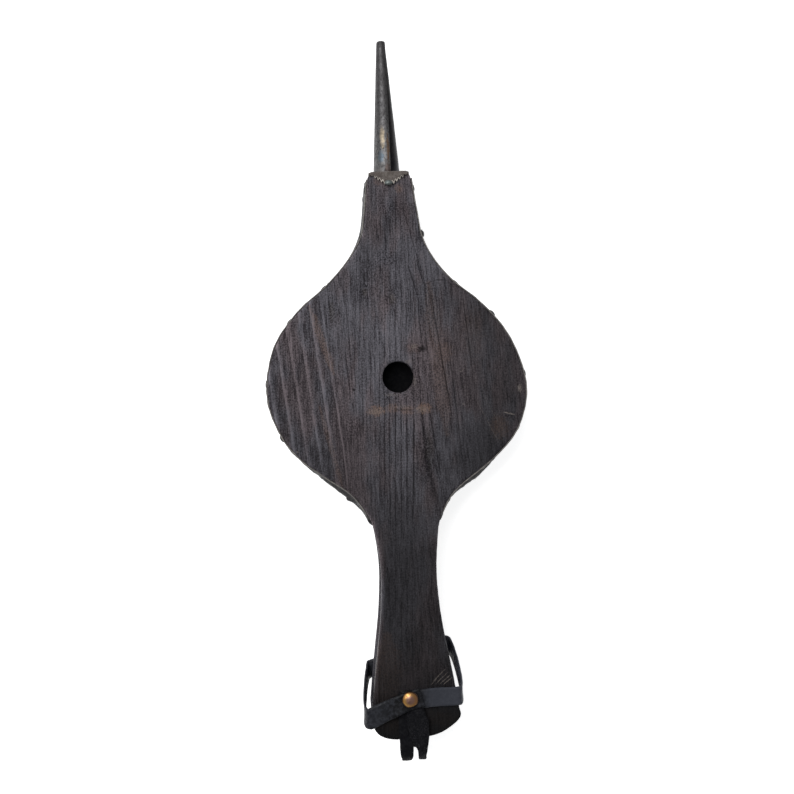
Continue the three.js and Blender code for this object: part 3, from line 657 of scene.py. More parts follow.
def brass_colour_with_painted_light(w, point):
    ring = w.reading("rim")
    side = w.add("SeparateXYZ", {"Vector": point}).outputs["X"]
    # Painted light: the amber ring is brighter on the left, where the light falls, and darker on
    # the right.
    amber_lit_from_left = w.mix(w.climb(side, -5.0, 2.0), (0.55, 0.30, 0.09), (0.30, 0.15, 0.055))
    colour = w.mix(w.climb(ring, 0.35, 0.72), (0.26, 0.150, 0.115), amber_lit_from_left)
    # Painted shadow: a dark ring round the edge of the head.
    return w.mix(w.climb(ring, 0.80, 0.95), colour, (0.030, 0.015, 0.009))


BRASS = material("brass tack", AGED_METAL, {
    "Colour": brass_colour_with_painted_light, "Oxide colour": (0.13, 0.06, 0.035), "Oxide": 0.4, "Gloss": 0.33,
    "Grain": 0.3})


# Boards ------------------------------------------------------------------------------------

# Points in the boards' outline, and the rows and columns of cells on a board's face. The face
# stops INSET short of the edge, where the rounding starts. HOLE_CELLS is half the width, in
# cells, of the block that the air hole takes the place of.
EDGE_POINTS = 899
ROWS = 310
COLS = 130
INSET = 2.2
HOLE_CELLS = 8
HOLE_RADIUS = 12.2

# The rounded edge as (reach out from the inset line, drop from the outer face, how much wear
# moves it), and the rim of the air hole as (extra radius, drop).
EDGE_ROUNDING = ((1.4, 0.12, 1), (1.95, 0.42, 1), (2.15, 1.0, 0.8), (2.2, 2.4, 0.5), (2.2, 7.0, 0),
                 (2.2, 10.5, 0), (2.1, 12.8, 0), (1.4, 13.8, 0))
HOLE_RIM = ((0.3, 0.1), (0.08, 0.45), (0.0, 1.6), (0.0, 7.0), (0.1, 12.8), (0.4, 13.8))
LOWEST_DROP = 13.8

# Back of the chamber: behind it the boards' inner faces are stained like the outer ones.
CHAMBER_END_Y = -112


def board_loop():
    """The boards' outline, read off the CAD front board: right side down, left side up."""
    mesh = nodes["front_board"].data
    co = np.zeros(len(mesh.vertices) * 3)
    mesh.vertices.foreach_get("co", co)
    co = co.reshape(-1, 3) / MM
    rim = np.unique(np.round(co[abs(co[:, 2] - FRONT_OUTER + 1) < 0.05][:, :2], 2), axis=0)
    end = rim[rim[:, 1].argmin()]
    on_right = np.where(rim[:, 1] < -262, rim[:, 0] > end[0], rim[:, 0] > 0)
    right = rim[on_right]
    left = rim[~on_right]
    right = right[np.argsort(-right[:, 1])]
    left = left[np.argsort(left[:, 1])]
    return evenly(np.vstack([right, left, right[:1]]), EDGE_POINTS + 1)[:-1]


def outward(loop):
    """Unit vectors out of a clockwise closed outline."""
    along = unit(np.roll(loop, -1, axis=0) - np.roll(loop, 1, axis=0))
    return np.stack([-along[:, 1], along[:, 0]], axis=1)


LOOP = board_loop()
LOOP_OUT = outward(LOOP)


def sides_of(loop):
    """The right and the left side of an outline as x for each y, for np.interp."""
    low = loop[:, 1].argmin()
    high_right = max(range(low), key=lambda i: (loop[i, 1], loop[i, 0]))
    right = loop[high_right:low + 1]
    left = loop[low:]
    return (right[::-1, 1], right[::-1, 0]), (left[:, 1], left[:, 0])


def edge_x(side, y):
    """How far right (side 1) or left (side -1) the board's edge is, at these heights."""
    line = sides_of(LOOP)[0 if side > 0 else 1]
    return np.interp(y, *line)


def growth(x, y):
    """Which growth line each spot lies on: whole numbers are lines. They lie 10 mm apart on the
    left of the belly, 3 mm apart next to that and 5 mm apart further right, and they lean."""
    lean = -0.047 + 0.157 * rise(x, -28, -46) + 0.165 * rise(x, 5, 30)
    across = x + lean * y
    across = across + 0.8 * noise(across / 30, y / 110, 3)
    near = 0.65 * np.logaddexp(0, (across + 47) / 2.5) - 0.9 * np.logaddexp(0, (across + 14) / 6)
    return across / 10 + near


def far_apart(x, y):
    """1 where the growth lines lie far apart, on the left of the belly, and 0 elsewhere."""
    return rise(x + 0.1 * y, -45, -50)


def grooved(x, y):
    """How deep the close growth lines are: deepest below the air hole, faint on the handle."""
    below_hole = rise(x, -26, -8) * rise(x, 34, 20) * rise(y, -8, -30) * rise(y, -125, -90)
    return 0.30 + 0.22 * rise(y, -120, -60) * rise(x, 40, 20) + 0.60 * below_hole


def outline_grid():
    """Points across the board inside its rounded edge: rows from nose to handle's end."""
    right, left = sides_of(LOOP - INSET * LOOP_OUT)
    top = min(right[0].max(), left[0].max()) - 0.02
    low = max(right[0].min(), left[0].min()) + 0.2
    near = np.array([0, 0.35, 0.8, 1.35])
    y = np.concatenate([top - near, np.linspace(top - 2, low + 2, ROWS - 7), low + near[::-1]])
    share = np.linspace(0, 1, COLS + 1)[None, :]
    x = np.interp(y, *left)[:, None] * (1 - share) + np.interp(y, *right)[:, None] * share
    return np.stack([x, np.repeat(y[:, None], COLS + 1, axis=1)], axis=-1)


def board(name, inner_z, sense, thickness, relief, tone_and_painted_light, hole_radius, finish):
    """A board of the common outline. Its worn outer face lies on the side that sense gives, and
    its edges are rounded unevenly. A round hole may go through it at the origin."""
    grid = outline_grid()
    flat = np.dstack([grid, np.zeros(grid.shape[:2])])
    number = np.arange(flat.shape[0] * flat.shape[1]).reshape(flat.shape[:2])
    kept = np.ones((ROWS, COLS), bool)
    hole = None
    if hole_radius:
        row = int(abs(flat[:, COLS // 2, 1]).argmin())
        col = int(abs(flat[row, :, 0]).argmin())
        punch(flat, row, col, HOLE_CELLS, HOLE_CELLS, (0, 1), (0.0, 0.0), hole_radius + 0.9)
        kept[row - HOLE_CELLS:row + HOLE_CELLS, col - HOLE_CELLS:col + HOLE_CELLS] = False
        hole = border(number[row - HOLE_CELLS:row + HOLE_CELLS + 1,
                             col - HOLE_CELLS:col + HOLE_CELLS + 1])
    x, y = flat[..., 0], flat[..., 1]
    outer = flat.copy()
    outer[..., 2] = thickness(y) + relief(x, y)
    inner = flat.copy()
    inner[..., 2] = 0.12 * noise(x / 9, y / 30, 21)
    points = [outer.reshape(-1, 3), inner.reshape(-1, 3)]
    count = len(points[0])
    rim = border(number)
    edge = points[0][rim]
    out = outward(edge[:, :2])
    spot = np.linspace(0, 1, len(rim), endpoint=False) * 2 * math.pi
    worn = 1.0 + 0.45 * noise(6 + 5 * np.cos(spot) * 6, 5 * np.sin(spot) * 6, 31)
    worn += 0.35 * noise(40 * np.cos(spot), 40 * np.sin(spot), 32)
    full = thickness(edge[:, 1])
    strips = []
    loops = [rim]
    total = 2 * count
    for reach, drop, scale in EDGE_ROUNDING:
        level = full - np.minimum(drop * (1 + scale * (worn - 1)), LOWEST_DROP) * full / BOARD
        rough = 0.10 * noise(edge[:, 1] / 2.5, level / 2.5, 33) * (reach > 2)
        spread = reach - 0.5 * scale * np.clip(worn - 1, 0, 1) * (reach < 2.15) + rough
        strips.append(np.column_stack([edge[:, :2] + out * spread[:, None], level]))
        loops.append(np.arange(total, total + len(rim)))
        total += len(rim)
    loops.append(rim + count)
    walls = [wall(a, b) for a, b in zip(loops[:-1], loops[1:])]
    points += strips
    if hole is not None:
        circle = points[0][hole]
        away = unit(circle[:, :2])
        rings = [hole]
        for radius, drop in HOLE_RIM:
            ragged = 0.14 * noise(away[:, 0] * 4, away[:, 1] * 4 + drop / 5, 41)
            ring = away * (hole_radius + radius + ragged)[:, None]
            points.append(np.column_stack([ring, BOARD - np.full(len(hole), drop)]))
            rings.append(np.arange(total, total + len(hole)))
            total += len(hole)
        rings.append(hole + count)
        walls += [wall(b, a) for a, b in zip(rings[:-1], rings[1:])]
    points = np.vstack(points)
    spots_x, spots_y = points[:, 0].copy(), points[:, 1].copy()
    points[:, 2] = inner_z + sense * points[:, 2]
    front = quads(number)[kept.ravel()]
    behind = quads(number + count)[kept.ravel()][:, ::-1]
    faces = [front, behind, *walls]
    if sense < 0:
        faces = [f[:, ::-1] for f in faces]
    index = np.zeros(sum(map(len, faces)))
    in_chamber = flat[:-1, :-1, 1][kept] > CHAMBER_END_Y
    index[len(front):len(front) + len(behind)] = in_chamber
    obj, used = build(name, points, faces, [finish, PLAIN_WOOD], index)
    attribute(obj, "phase", growth(spots_x, spots_y)[used])
    attribute(obj, "broad", far_apart(spots_x, spots_y)[used])
    attribute(obj, "grooves", grooved(spots_x, spots_y)[used])
    attribute(obj, "tone_and_painted_light", tone_and_painted_light(spots_x, spots_y)[used])
    return obj


def front_relief(x, y):
    """Raised growth lines on the left, fine grooves elsewhere, planing waves, torn-out places."""
    part = growth(x, y) % 1
    height = 0.5 * far_apart(x, y) * (rise(part, 0, 0.1) * rise(part, 0.5, 0.1) - 0.3)
    height += 0.16 * noise(x / 17, y / 60, 5) + 0.05 * noise(x / 2.2, y / 25, 6)
    for cx, cy, wide, tall, depth in ((-22.7, 67, 3.5, 5, 0.5), (-2, 60, 4.5, 6, 0.5),
                                      (-14.8, -152.8, 2, 9, 0.5), (19.4, 20.9, 4, 3, 0.35),
                                      (22.3, -57, 4.5, 24, 0.3), (0, -24.7, 25, 2.6, 0.22)):
        torn = bell(x + 0.28 * (y - cy) * (tall > 20), cx, wide) * bell(y, cy, tall)
        height -= depth * torn * (0.75 + 0.5 * noise(x / 1.7, y / 2.4, 7))
    return height


def front_tone_and_painted_light(x, y):
    """Brightness over the front board, partly darker wood down the handle and partly painted light:
    a painted sheen over the belly and neck that falls off down the handle and towards the right,
    and pale edges that are partly wear and partly a painted highlight.
    """
    # Painted light: the climb from the dark handle end to the bright belly is partly darker wood
    # and partly a painted falloff of light from the upper left.
    down = np.interp(y, [-285, -262, -240, -200, -140, -110, -80, -55, -30, 20, 80, 120, 155],
                     [0.05, 0.10, 0.22, 0.34, 0.41, 0.58, 0.86, 1.00, 1.17, 1.32, 1.22, 1.07, 1.07])
    # Painted shade on the right of the belly, away from the light.
    tone_and_painted_light = down * (1 - 0.55 * rise(x, 15, 75) * rise(y, -110, -70))
    tone_and_painted_light = tone_and_painted_light * (1 + 0.13 * noise(x / 22, y / 60, 8))
    # Pale rim along the edge: wear together with a painted highlight on the rounded edge.
    near = np.minimum(edge_x(1, y) - x, x - edge_x(-1, y))
    tone_and_painted_light = tone_and_painted_light * (1 + 0.9 * rise(near, 1.5, 0.2) * (0.6 + 0.5 * noise(x / 7, y / 9, 9)))
    # The handle's left edge, which faces the light, is made paler: wear together with painted
    # light.
    return tone_and_painted_light * (1 + 0.6 * rise(x - edge_x(-1, y), 3.4, 1.6) * rise(y, -95, -115))


def back_relief(x, y):
    return 0.14 * noise(x / 15, y / 70, 12) + 0.06 * noise(x / 2.4, y / 25, 13)


def back_tone(x, y):
    return 0.95 + 0.12 * noise(x / 25, y / 60, 14)


def front_thickness(y):
    return np.full(np.shape(y), BOARD)


def back_thickness(y):
    """The back handle is planed 4 mm thinner on its outer side."""
    return BOARD - 4 * np.clip((-128 - y) / 62, 0, 1)


front_board = board("front_board_looks", FRONT_INNER, 1, front_thickness, front_relief, front_tone_and_painted_light,
                    HOLE_RADIUS, FRONT_WOOD)
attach(front_board, "front_half")
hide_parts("front_board")

back_board = board("back_board_looks", BOARD, -1, back_thickness, back_relief, back_tone,
                   None, BACK_WOOD)
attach(back_board, "back_half")
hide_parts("back_board")

for name, finish in (("nozzle_block", BLOCK_WOOD), ("inner_hoop", PLAIN_WOOD),
                     ("valve_stiffener", PLAIN_WOOD)):
    nodes[name].data.materials.clear()
    nodes[name].data.materials.append(finish)


# Tacks -------------------------------------------------------------------------------------

# Shanks longer than the 9 mm of most tacks, by the first word of the name.
SHANKS = {"block": 26.0, "strap": 17.0}


def tack_place(name):
    """Where a CAD tack sits: the middle of its head's underside, its direction out of the
    surface, and its head's radius and height. The head is its widest part."""
    mesh = nodes[name].data
    co = np.zeros(len(mesh.vertices) * 3)
    mesh.vertices.foreach_get("co", co)
    co = np.unique(np.round(co.reshape(-1, 3) / MM, 3), axis=0)
    middle = co.mean(axis=0)
    _, directions = np.linalg.eigh(np.cov((co - middle).T))
    way = directions[:, -1]
    along = (co - middle) @ way
    away = np.linalg.norm(co - middle - along[:, None] * way, axis=1)
    widest = along[away > away.max() - 0.05].mean()
    if widest < 0:
        way, along, widest = -way, -along, -widest
    return middle + widest * way, way, away.max(), along.max() - widest


def tack(name, finish, body, seed, beaten, around, sink, oval, tall):
    """A tack with a beaten dome, a tucked-in rim and a short shank, in place of its CAD node.
    Its head may be sunk into the leather, and be wider one way than the other."""
    at, way, radius, height = tack_place(name)
    at = at - sink * way
    height = height * tall
    shank = SHANKS.get(name.split("_")[0], 9.0)
    side = unit(np.cross(way, [0.3, 0.2, 0.9]))
    other = np.cross(way, side)
    turn = np.linspace(0, 2 * math.pi, around, endpoint=False)
    lift = np.linspace(0, 1, 9)
    profile = [(0.25, -shank), (0.9, -shank + 2.5), (0.9, -0.05), (radius * 0.93, 0.0)]
    profile += [(radius * math.cos(a), height * (0.12 + 0.88 * math.sin(a)))
                for a in lift[:-1] * math.pi / 2]
    profile += [(0.12, height)]
    rings = []
    for far, up in profile:
        knock = 1 + beaten * noise(2.2 * np.cos(turn) + seed, 2.2 * np.sin(turn) + far, seed)
        far_now = far * (knock if up >= 0 else 1)
        up_now = up * (1 + (0.8 * beaten * noise(far * np.cos(turn) / 1.6 + seed,
                                                 far * np.sin(turn) / 1.6, seed + 1)
                            if up > 0 else 0))
        ring = (np.cos(turn) * far_now)[:, None] * side + (np.sin(turn) * far_now)[:, None] * other
        ring = ring * [oval[0], oval[1], 1]
        rings.append(at + ring + np.broadcast_to(up_now, turn.shape)[:, None] * way)
    obj = sleeve(name + "_looks", np.array(rings), [finish])
    rim = [min(far / radius, 1) if up >= 0 else 1 for far, up in profile]
    attribute(obj, "rim", np.repeat(rim, around))
    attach(obj, body)
    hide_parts(name)
    return obj


def tack_body(name):
    bodies = frame["record"]["behaviour"]["bodies"]
    return next(body for body, held in bodies.items() if name in held)


# How far each edge tack is sunk into the leather in millimetres, and how much taller than the
# others a few of them stand.
SUNK = {"front_edge_tack_left_3": 0.95, "front_edge_tack_left_4": 0.95,
        "front_edge_tack_left_5": 0.95}
TALL = {"front_edge_tack_right_2": 1.9, "front_edge_tack_right_4": 1.4,
        "front_edge_tack_left_6": 1.5}
tack_names = sorted(n for n in nodes if "_tack" in n or "_nail" in n)
for seed, name in enumerate(tack_names):
    brass = name == "strap_brass_tack"
    finish = BRASS if brass else GREEN_IRON if name == "nose_tongue_tack" else TACK_IRON
    tack(name, finish, tack_body(name), seed + 50,
         beaten=0.045 if brass else 0.1, around=56 if brass else 24,
         sink=SUNK.get(name, 0.6) if "_edge_" in name else 0.0,
         oval=(1.25, 0.75) if name == "nose_tongue_tack" else (1, 1), tall=TALL.get(name, 1.0))


# Nozzle ------------------------------------------------------------------------------------

NOZZLE_AROUND = 97
LAP_LIFT = 0.42


def nozzle():
    """A cone rolled from one sheet. Going round from the lap the sheet climbs by its own
    thickness, so the lap's edge shows as a step along the cone, and the bore is open."""
    profile = [(128.3, 10.7), (142, 10.8), (156, 10.85)]
    profile += [(158 + 109.2 * t, 10.9 - 7.25 * t) for t in np.linspace(0, 1, 54)]
    profile += [(268.1, 3.45), (268.6, 3.05), (268.4, 2.6)]
    outside = len(profile)
    profile += [(267.0, 2.4)]
    profile += [(266.6 - 108.6 * t, 2.4 + 7.2 * t) for t in np.linspace(0.05, 1, 20)]
    profile += [(142, 9.6), (128.3, 9.6)]
    share = np.linspace(0, 1, NOZZLE_AROUND)
    rings = []
    for i, (y, radius) in enumerate(profile):
        turn = share * 2 * math.pi + math.asin(min(2.9 / radius, 0.85))
        level = np.full(NOZZLE_AROUND, y)
        outer = i < outside
        lap = LAP_LIFT * rise(y, 150, 160) * rise(y, 269, 260) * outer
        beaten = 0.07 * noise(turn * 2.2, level / 7, 61) if outer else 0
        r = radius + lap * (2 * share - 1) + beaten
        rings.append(np.column_stack([np.sin(turn) * r, level, AXIS_Z + np.cos(turn) * r]))
    rings = np.array(rings)
    grid = np.arange(len(rings) * NOZZLE_AROUND).reshape(-1, NOZZLE_AROUND)
    closed = np.vstack([grid, grid[:1]])
    faces = quads(np.hstack([closed, closed[:, :1]]))
    obj, _ = build("nozzle_looks", rings, [faces], [NOZZLE_IRON])
    face_outward(obj)
    obj.data.set_sharp_from_angle(angle=math.radians(38))
    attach(obj, "back_half")
    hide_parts("nozzle")


nozzle()


# Gusset ------------------------------------------------------------------------------------

GUSSET_POINTS = 560
GUSSET_THICK = 0.95

# The leather's depth as (push out from the boards' edge, height): down the front board's edge,
# in, out over the hoop, in again, and down the back board's edge.
GUSSET_FOLDS = [(0.14, 55.3), (0.14, 50), (0.2, 45), (0.8, 41.6), (0.9, 39.0), (-4, 36.4),
                (-10, 34.4), (-11.5, 33.4), (-9, 32.6), (-4.6, 31.6), (-3.6, 28), (-4.6, 24.4),
                (-9, 23.4), (-11.5, 22.6), (-10, 21.6), (-4, 19.6), (0.9, 17.0), (0.8, 14.4),
                (0.32, 11), (0.3, 6), (0.3, 0.7)]


def gusset_path():
    """The line that the leather follows: down the right edge, across between the handles, and
    up the left edge."""
    down = np.linspace(154, -109, 220)
    right = np.column_stack([edge_x(1, down), down])
    left = np.column_stack([edge_x(-1, down), down])
    tail = curve([right[-1], (edge_x(1, -114) - 1.0, -113.5), (13, -117.6), (0.6, -118.6),
                  (-12, -117.6), (edge_x(-1, -114) + 1.0, -113.5), left[-1]], 60)
    return evenly(np.vstack([right, tail[1:-1], left[::-1]]), GUSSET_POINTS)


def gusset():
    """Leather round the boards' edges. Between the boards it folds in, out over the hoop, and
    in again. It is crumpled at the lower shoulders and lies flat over the nozzle block."""
    path = gusset_path()
    count = len(path)
    along = unit(np.gradient(path, axis=0))
    out = np.column_stack([-along[:, 1], along[:, 0]])
    gone = distance_along(path)
    y = path[:, 1]
    on_left = path[:, 0] < 0
    profile = curve(GUSSET_FOLDS, 58)
    push, z = profile[None, :, 0], profile[None, :, 1]
    fold = (rise(y, 92, 78))[:, None]
    tail = (rise(y, -110, -115))[:, None]
    inside = rise(abs(z - AXIS_Z), 15, 11)
    push = np.where(push < 0.14, 0.14 + (push - 0.14) * fold * (1 - 0.35 * tail), push)
    crumple = np.where(on_left, bell(y, -86, 17), bell(y, -80, 12))[:, None]
    cheek = bell(abs(z - AXIS_Z), 12.2, 3.4)
    swell = 0.2 + 3.6 * crumple + 0.5 * noise(gone / 26, 0 * gone, 71)[:, None]
    push = push + cheek * swell * fold * (1 - tail)
    wrinkle = 0.55 * noise(gone[:, None] / 5.5, z / 9, 72)
    wrinkle = wrinkle + 0.3 * noise(gone[:, None] / 2.3, z / 5, 73)
    push = push + wrinkle * inside * fold * (1 + 1.2 * crumple)
    push = push + 1.7 * bell(y, 110, 10)[:, None] * bell(z, AXIS_Z, 11)
    lap = 1 - inside
    push = push + lap * np.clip(0.2 * noise(gone[:, None] / 9, z / 12, 74), -0.03, 0.25)
    hold = (1 - rise(y, -104, -111.5))[:, None]
    upper = z > FRONT_INNER
    lower = z < BOARD
    level = np.where(upper, 41.6 + (z - 41.6) * hold, np.where(lower, 14.4 + (z - 14.4) * hold, z))
    wave = 0.45 * noise(gone / 17, 0 * gone, 75) + 0.2 * noise(gone / 5, 0 * gone, 76)
    level = level + wave[:, None] * (rise(z, 48, 55) - rise(z, 8, 1)) * hold
    points = np.dstack([path[:, None, 0] + out[:, None, 0] * push,
                        path[:, None, 1] + out[:, None, 1] * push,
                        np.broadcast_to(level, push.shape)])
    grid = np.arange(count * len(profile)).reshape(count, -1)
    obj, _ = build("gusset_leather_looks", points, [quads(grid)], [GUSSET_HIDE, RAW_EDGE_WITH_HIGHLIGHT])
    solid = obj.modifiers.new("thickness", "SOLIDIFY")
    solid.thickness = GUSSET_THICK * MM
    solid.offset = 1.0
    solid.use_even_offset = False
    solid.material_offset_rim = 1
    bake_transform(obj)
    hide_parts("gusset_leather")


gusset()


# Nose leather ------------------------------------------------------------------------------


def nose_leather():
    """One leather over the nose's end and turned back over the front board as a shallow V, its edge
    cut in teeth. It is the front board's hinge; here it is one fixed piece, attached to neither
    half."""
    x = np.linspace(-15.6, 15.6, 181)
    inner = abs(x) / 12.6
    teeth = abs(2 * ((x / 2.4) % 1) - 1)
    tip = 148.6 + 8.2 * np.clip(inner, 0, 1) ** 1.15
    tip = tip + 2.5 * (teeth - 0.5) * (inner < 1) * rise(abs(x), 0.4, 2)
    tip = np.where(inner > 1, np.minimum(156.4 + 0.35 * (abs(x) - 12.6), 157), tip)
    rows = [(159.1, z) for z in np.linspace(0.8, 54.6, 40)]
    rows += [(156.9 + 2.2 * math.cos(a), 55.0 + 2.3 * math.sin(a))
             for a in np.linspace(0.12, 1.45, 7)]
    rows = np.array(rows)
    grid = np.zeros((len(rows) + 12, len(x), 3))
    grid[..., 0] = x[None, :]
    grid[:len(rows), :, 1] = rows[:, :1]
    grid[:len(rows), :, 2] = rows[:, 1:]
    share = np.linspace(0, 1, 13)[1:, None]
    grid[len(rows):, :, 1] = 156.9 + (tip[None, :] - 156.9) * share
    grid[len(rows):, :, 2] = 57.3
    top_droop = rise(abs(grid[..., 0]), 12.8, 15.6)
    grid[..., 2] -= 1.6 * top_droop * (grid[..., 2] > 55.5)
    grid[..., 1] -= 0.5 * top_droop * (grid[..., 1] > 158)
    grid[..., 2] += 0.22 * noise(grid[..., 0] / 3.5, grid[..., 1] / 3.5, 81) * (grid[..., 2] > 56.5)
    block = punch(grid, 20, 90, 7, 54, (0, 2), (0.0, AXIS_Z), 11.5, 1.9)
    kept = np.maximum(np.maximum(block[:-1, :-1], block[1:, 1:]),
                      np.maximum(block[:-1, 1:], block[1:, :-1])) > 1.001
    number = np.arange(grid.shape[0] * grid.shape[1]).reshape(grid.shape[:2])
    faces = quads(number)[kept.ravel()]
    index = np.zeros(kept.shape)
    index[-3:, :] = 1
    obj, _ = build("nose_leather_looks", grid, [faces], [NOSE_HIDE, PALE_TRIM], index[kept])
    solid = obj.modifiers.new("thickness", "SOLIDIFY")
    solid.thickness = 1.5 * MM
    solid.offset = 0.0
    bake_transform(obj)
    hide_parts("nose_leather", "nose_tongue")


nose_leather()


# Valve -------------------------------------------------------------------------------------


PLATE_POINTS = 61
PLATE_THICK = 1.7


def leather_plate(low, high, z, body, node, seed):
    """A flat piece of leather with rounded corners and slightly uneven edges."""
    u = np.linspace(-1, 1, PLATE_POINTS)
    a, b = np.meshgrid(u, u, indexing="ij")
    x = (low[0] + high[0]) / 2 + b * (high[0] - low[0]) / 2
    y = (low[1] + high[1]) / 2 - a * (high[1] - low[1]) / 2
    corner = np.clip(np.hypot(np.clip(abs(a) - 0.8, 0, 1), np.clip(abs(b) - 0.8, 0, 1)) - 0.2, 0, 1)
    x = x - np.sign(b) * corner * (high[0] - low[0]) * 0.5 + 0.15 * noise(x / 5, y / 5, seed)
    y = y + np.sign(a) * corner * (high[1] - low[1]) * 0.5
    grid = np.dstack([x, y, z + 0.12 * noise(x / 8, y / 8, seed + 1)])
    number = np.arange(PLATE_POINTS ** 2).reshape(PLATE_POINTS, PLATE_POINTS)
    obj, _ = build(node + "_looks", grid, [quads(number)], [VALVE_HIDE, RAW_EDGE_WITH_HIGHLIGHT])
    solid = obj.modifiers.new("thickness", "SOLIDIFY")
    solid.thickness = PLATE_THICK * MM
    solid.offset = 0.0
    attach(obj, body)
    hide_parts(node)


leather_plate((-21, -21), (21, 22.7), 40.75, "valve", "valve_flap", 90)
leather_plate((-21, 23.7), (21, 34), 40.7, "front_half", "valve_hinge_strip", 94)


# Points across each of a ribbon's two faces.
RIBBON_POINTS = 15


def ribbon(name, path, across, widths, thick, materials, cup=0.0, seed=0, ragged=0.0):
    """A flat strap along a path: a rounded, slightly cupped section swept along it."""
    along = unit(np.gradient(path, axis=0))
    across = unit(across - np.sum(across * along, axis=1, keepdims=True) * along)
    up = np.cross(along, across)
    u = np.linspace(-1, 1, RIBBON_POINTS)
    full = np.concatenate([u, u[::-1]])
    side = np.repeat([1.0, -1.0], RIBBON_POINTS)
    round_off = np.sqrt(np.clip(1 - np.clip((abs(full) - 0.86) / 0.14, 0, 1) ** 2, 0.05, 1))
    gone = distance_along(path)
    trim = 1 + ragged * noise(gone[:, None] / 3, np.sign(full)[None, :] * 5, seed)
    half = np.asarray(widths)[:, None] / 2 * trim * full[None, :]
    lift = side * round_off * thick / 2
    lift = lift[None, :] - cup * (1 - full[None, :] ** 2)
    lift = lift + 0.10 * noise(gone[:, None] / 4, full[None, :] * 2, seed + 1)
    sideways = across[:, None, :] * half[..., None]
    rings = path[:, None, :] + sideways + up[:, None, :] * lift[..., None]
    return sleeve(name, rings, materials)


def valve_stop():
    """The slack leather band under the flap, nailed at both ends."""
    x = np.concatenate([[-40, -35], np.linspace(-30, 30, 13), [35, 40]])
    sag = 17.1 * (1 - np.clip(abs(x) / 30, 0, 1) ** 4)
    path = curve(np.column_stack([x, np.full(len(x), -4.0), 40.95 - sag]), 90)
    across = np.tile([0.0, 1.0, 0.0], (len(path), 1))
    widths = np.full(len(path), 8.0)
    obj = ribbon("valve_stop_strap_looks", path, across, widths, 1.4, [VALVE_HIDE], seed=98)
    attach(obj, "front_half")
    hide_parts("valve_stop_strap")


valve_stop()


# Strap and thong ---------------------------------------------------------------------------


def hand_strap():
    """One strap: its right end lies under the tack, it passes round both handles, slack at the
    sides, and its left end laps over the first end, cut off square just past the tack."""
    low = 57.4
    high = 60.4
    path = curve([
        (-8.5, -249.4, high), (-1, -249, high), (9, -248.7, high), (15, -248.6, high - 0.9),
        (21, -248.9, low + 0.6), (30, -249.2, low), (36.2, -249.1, low - 0.4), (38.2, -248.3, 53.2),
        (38.9, -243.5, 44), (38.4, -236.5, 32), (37.2, -229, 20), (35.6, -223.4, 9),
        (33.2, -220.8, 3.0), (27, -221, 1.9), (0, -228.5, 1.9), (-27, -235.8, 1.9),
        (-32.2, -237.6, 3.0), (-34.4, -241, 11), (-36.6, -248.5, 30), (-37.8, -256, 46),
        (-37.3, -261.2, 54.2), (-34.6, -262.9, low + 0.2),
        (-31, -261.6, low + 0.3), (-22, -257.4, low + 1.4), (-13, -253.2, high + 1.8),
        (-3, -249.4, high + 2.15), (6.4, -246.9, high + 2.15)], 300)
    across = np.tile([0.0, 1.0, 0.0], (len(path), 1))
    share = np.linspace(0, 1, len(path))
    widths = 14.6 + 1.6 * bell(share, 0.83, 0.06) - 0.6 * bell(share, 0.3, 0.1)
    obj = ribbon("strap_looks", path, across, widths, 1.9, [STRAP_HIDE], cup=0.25, seed=101,
                 ragged=0.01)
    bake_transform(obj)
    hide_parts("strap_front_run", "strap_loop")


hand_strap()


def thong():
    """One thong: both its ends lie under the strap, it runs out over the handle's end, hangs
    down, and turns at the bottom to leave an eye to hang the bellows by. A stop is a place on
    it, its width there, and how much nap shows."""
    stops = [
        (-6.5, -244, 57.75, 10, 0.1), (-7.2, -262, 57.8, 10.5, 0.1), (-7.2, -276, 58.0, 10.6, 0.15),
        (-6.8, -287, 57.6, 10.6, 0.2), (-6.6, -294, 55.0, 9.6, 0.3), (-6.8, -298.6, 47.5, 7.6, 0.4),
        (-7.0, -299.6, 36, 6.0, 0.5), (-7.0, -299.8, 22, 5.8, 0.5), (-5.6, -299.8, 11.5, 6.0, 0.6),
        (0.4, -299.8, 6.6, 6.4, 0.7), (6.0, -299.8, 11.5, 6.0, 0.8), (7.2, -299.8, 22, 5.8, 0.9),
        (6.6, -299.6, 36, 5.8, 1.0), (5.6, -298.4, 47.5, 6.0, 1.0), (5.0, -294, 56.0, 6.4, 1.0),
        (5.2, -288.5, 59.4, 8.0, 1.0), (4.4, -282, 60.6, 11.8, 1.0), (3.0, -274, 60.9, 15.6, 1.0),
        (2.4, -267, 60.6, 16.4, 0.9), (0.6, -258, 60.0, 14.0, 0.6), (-0.6, -245, 58.9, 12.0, 0.4)]
    line = curve(stops, 260)
    path, widths, nap = line[:, :3], line[:, 3], line[:, 4]
    along = unit(np.gradient(path, axis=0))
    lean = rise(path[:, 2], 56.6, 50.0)
    face = unit(np.column_stack([np.zeros(len(path)), -lean, 1 - lean]))
    across = np.cross(along, face)
    obj = ribbon("hanging_thong_looks", path, across, widths, 2.1, [THONG_HIDE], cup=0.2, seed=111,
                 ragged=0.05)
    attribute(obj, "nap", np.repeat(nap, 2 * RIBBON_POINTS))
    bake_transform(obj)
    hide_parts("hanging_loop_tab", "hanging_loop")


thong()


# Studio ------------------------------------------------------------------------------------


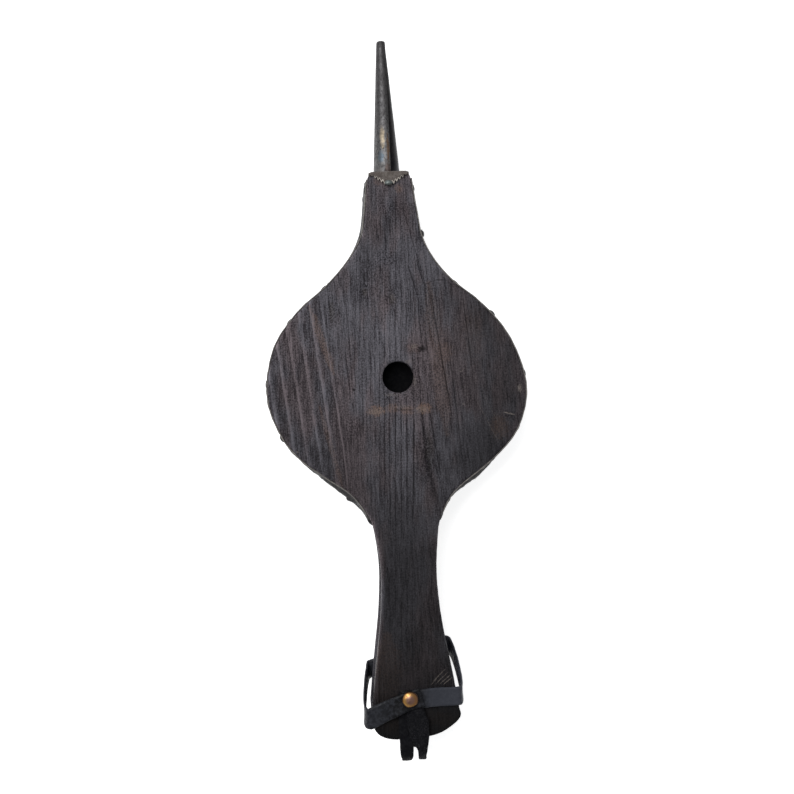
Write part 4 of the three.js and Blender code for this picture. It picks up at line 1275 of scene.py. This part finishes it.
def studio():
    """A white floor just below the bellows, a pale sky and one soft light from the upper left."""
    scene = bpy.context.scene
    scene.view_settings.view_transform = "Standard"
    floor_mesh = bpy.data.meshes.new("floor")
    floor_mesh.from_pydata([(-6, -6, 0), (6, -6, 0), (6, 6, 0), (-6, 6, 0)], [], [(0, 1, 2, 3)])
    floor = bpy.data.objects.new("floor", floor_mesh)
    scene.collection.objects.link(floor)
    floor.location.z = -0.0012
    paint = bpy.data.materials.new("pale floor")
    paint.use_nodes = True
    surface = paint.node_tree.nodes["Principled BSDF"]
    surface.inputs["Base Color"].default_value = (0.9, 0.9, 0.9, 1)
    surface.inputs["Roughness"].default_value = 0.9
    surface.inputs["Emission Color"].default_value = (1, 1, 1, 1)
    surface.inputs["Emission Strength"].default_value = 0.75
    floor_mesh.materials.append(paint)
    world = bpy.data.worlds.new("studio")
    world.use_nodes = True
    world.node_tree.nodes["Background"].inputs["Color"].default_value = (0.97, 0.985, 1, 1)
    world.node_tree.nodes["Background"].inputs["Strength"].default_value = 0.32
    scene.world = world
    light = bpy.data.lights.new("soft light", "AREA")
    light.size = 1.1
    light.energy = 27
    lamp = bpy.data.objects.new("soft light", light)
    lamp.location = (-0.60, 0.60, 1.5)
    aim = Vector((0, 0, 0.03)) - lamp.location
    lamp.rotation_euler = aim.to_track_quat("-Z", "Y").to_euler()
    scene.collection.objects.link(lamp)


# Width of what the camera sees at the front board, in metres.
SEEN_WIDTH = 0.61535


def camera():
    """Looks straight down from a little left of the middle, turned so that the nozzle leans
    slightly left."""
    eye = Vector((-0.05, -0.0154, 0.956))
    aim = Vector((-0.0017, -0.0154, 0.056))
    back = (eye - aim).normalized()
    up = Vector((0.047, 0.9989, 0))
    up = (up - up.dot(back) * back).normalized()
    right = up.cross(back)
    turned = Matrix((right, up, back)).transposed().to_4x4()
    turned.translation = eye
    data = bpy.data.cameras.new("camera")
    data.lens = data.sensor_width * (eye - aim).length / SEEN_WIDTH
    eyepiece = bpy.data.objects.new("camera", data)
    eyepiece.matrix_world = turned
    bpy.context.scene.collection.objects.link(eyepiece)
    bpy.context.scene.camera = eyepiece


studio()
camera()
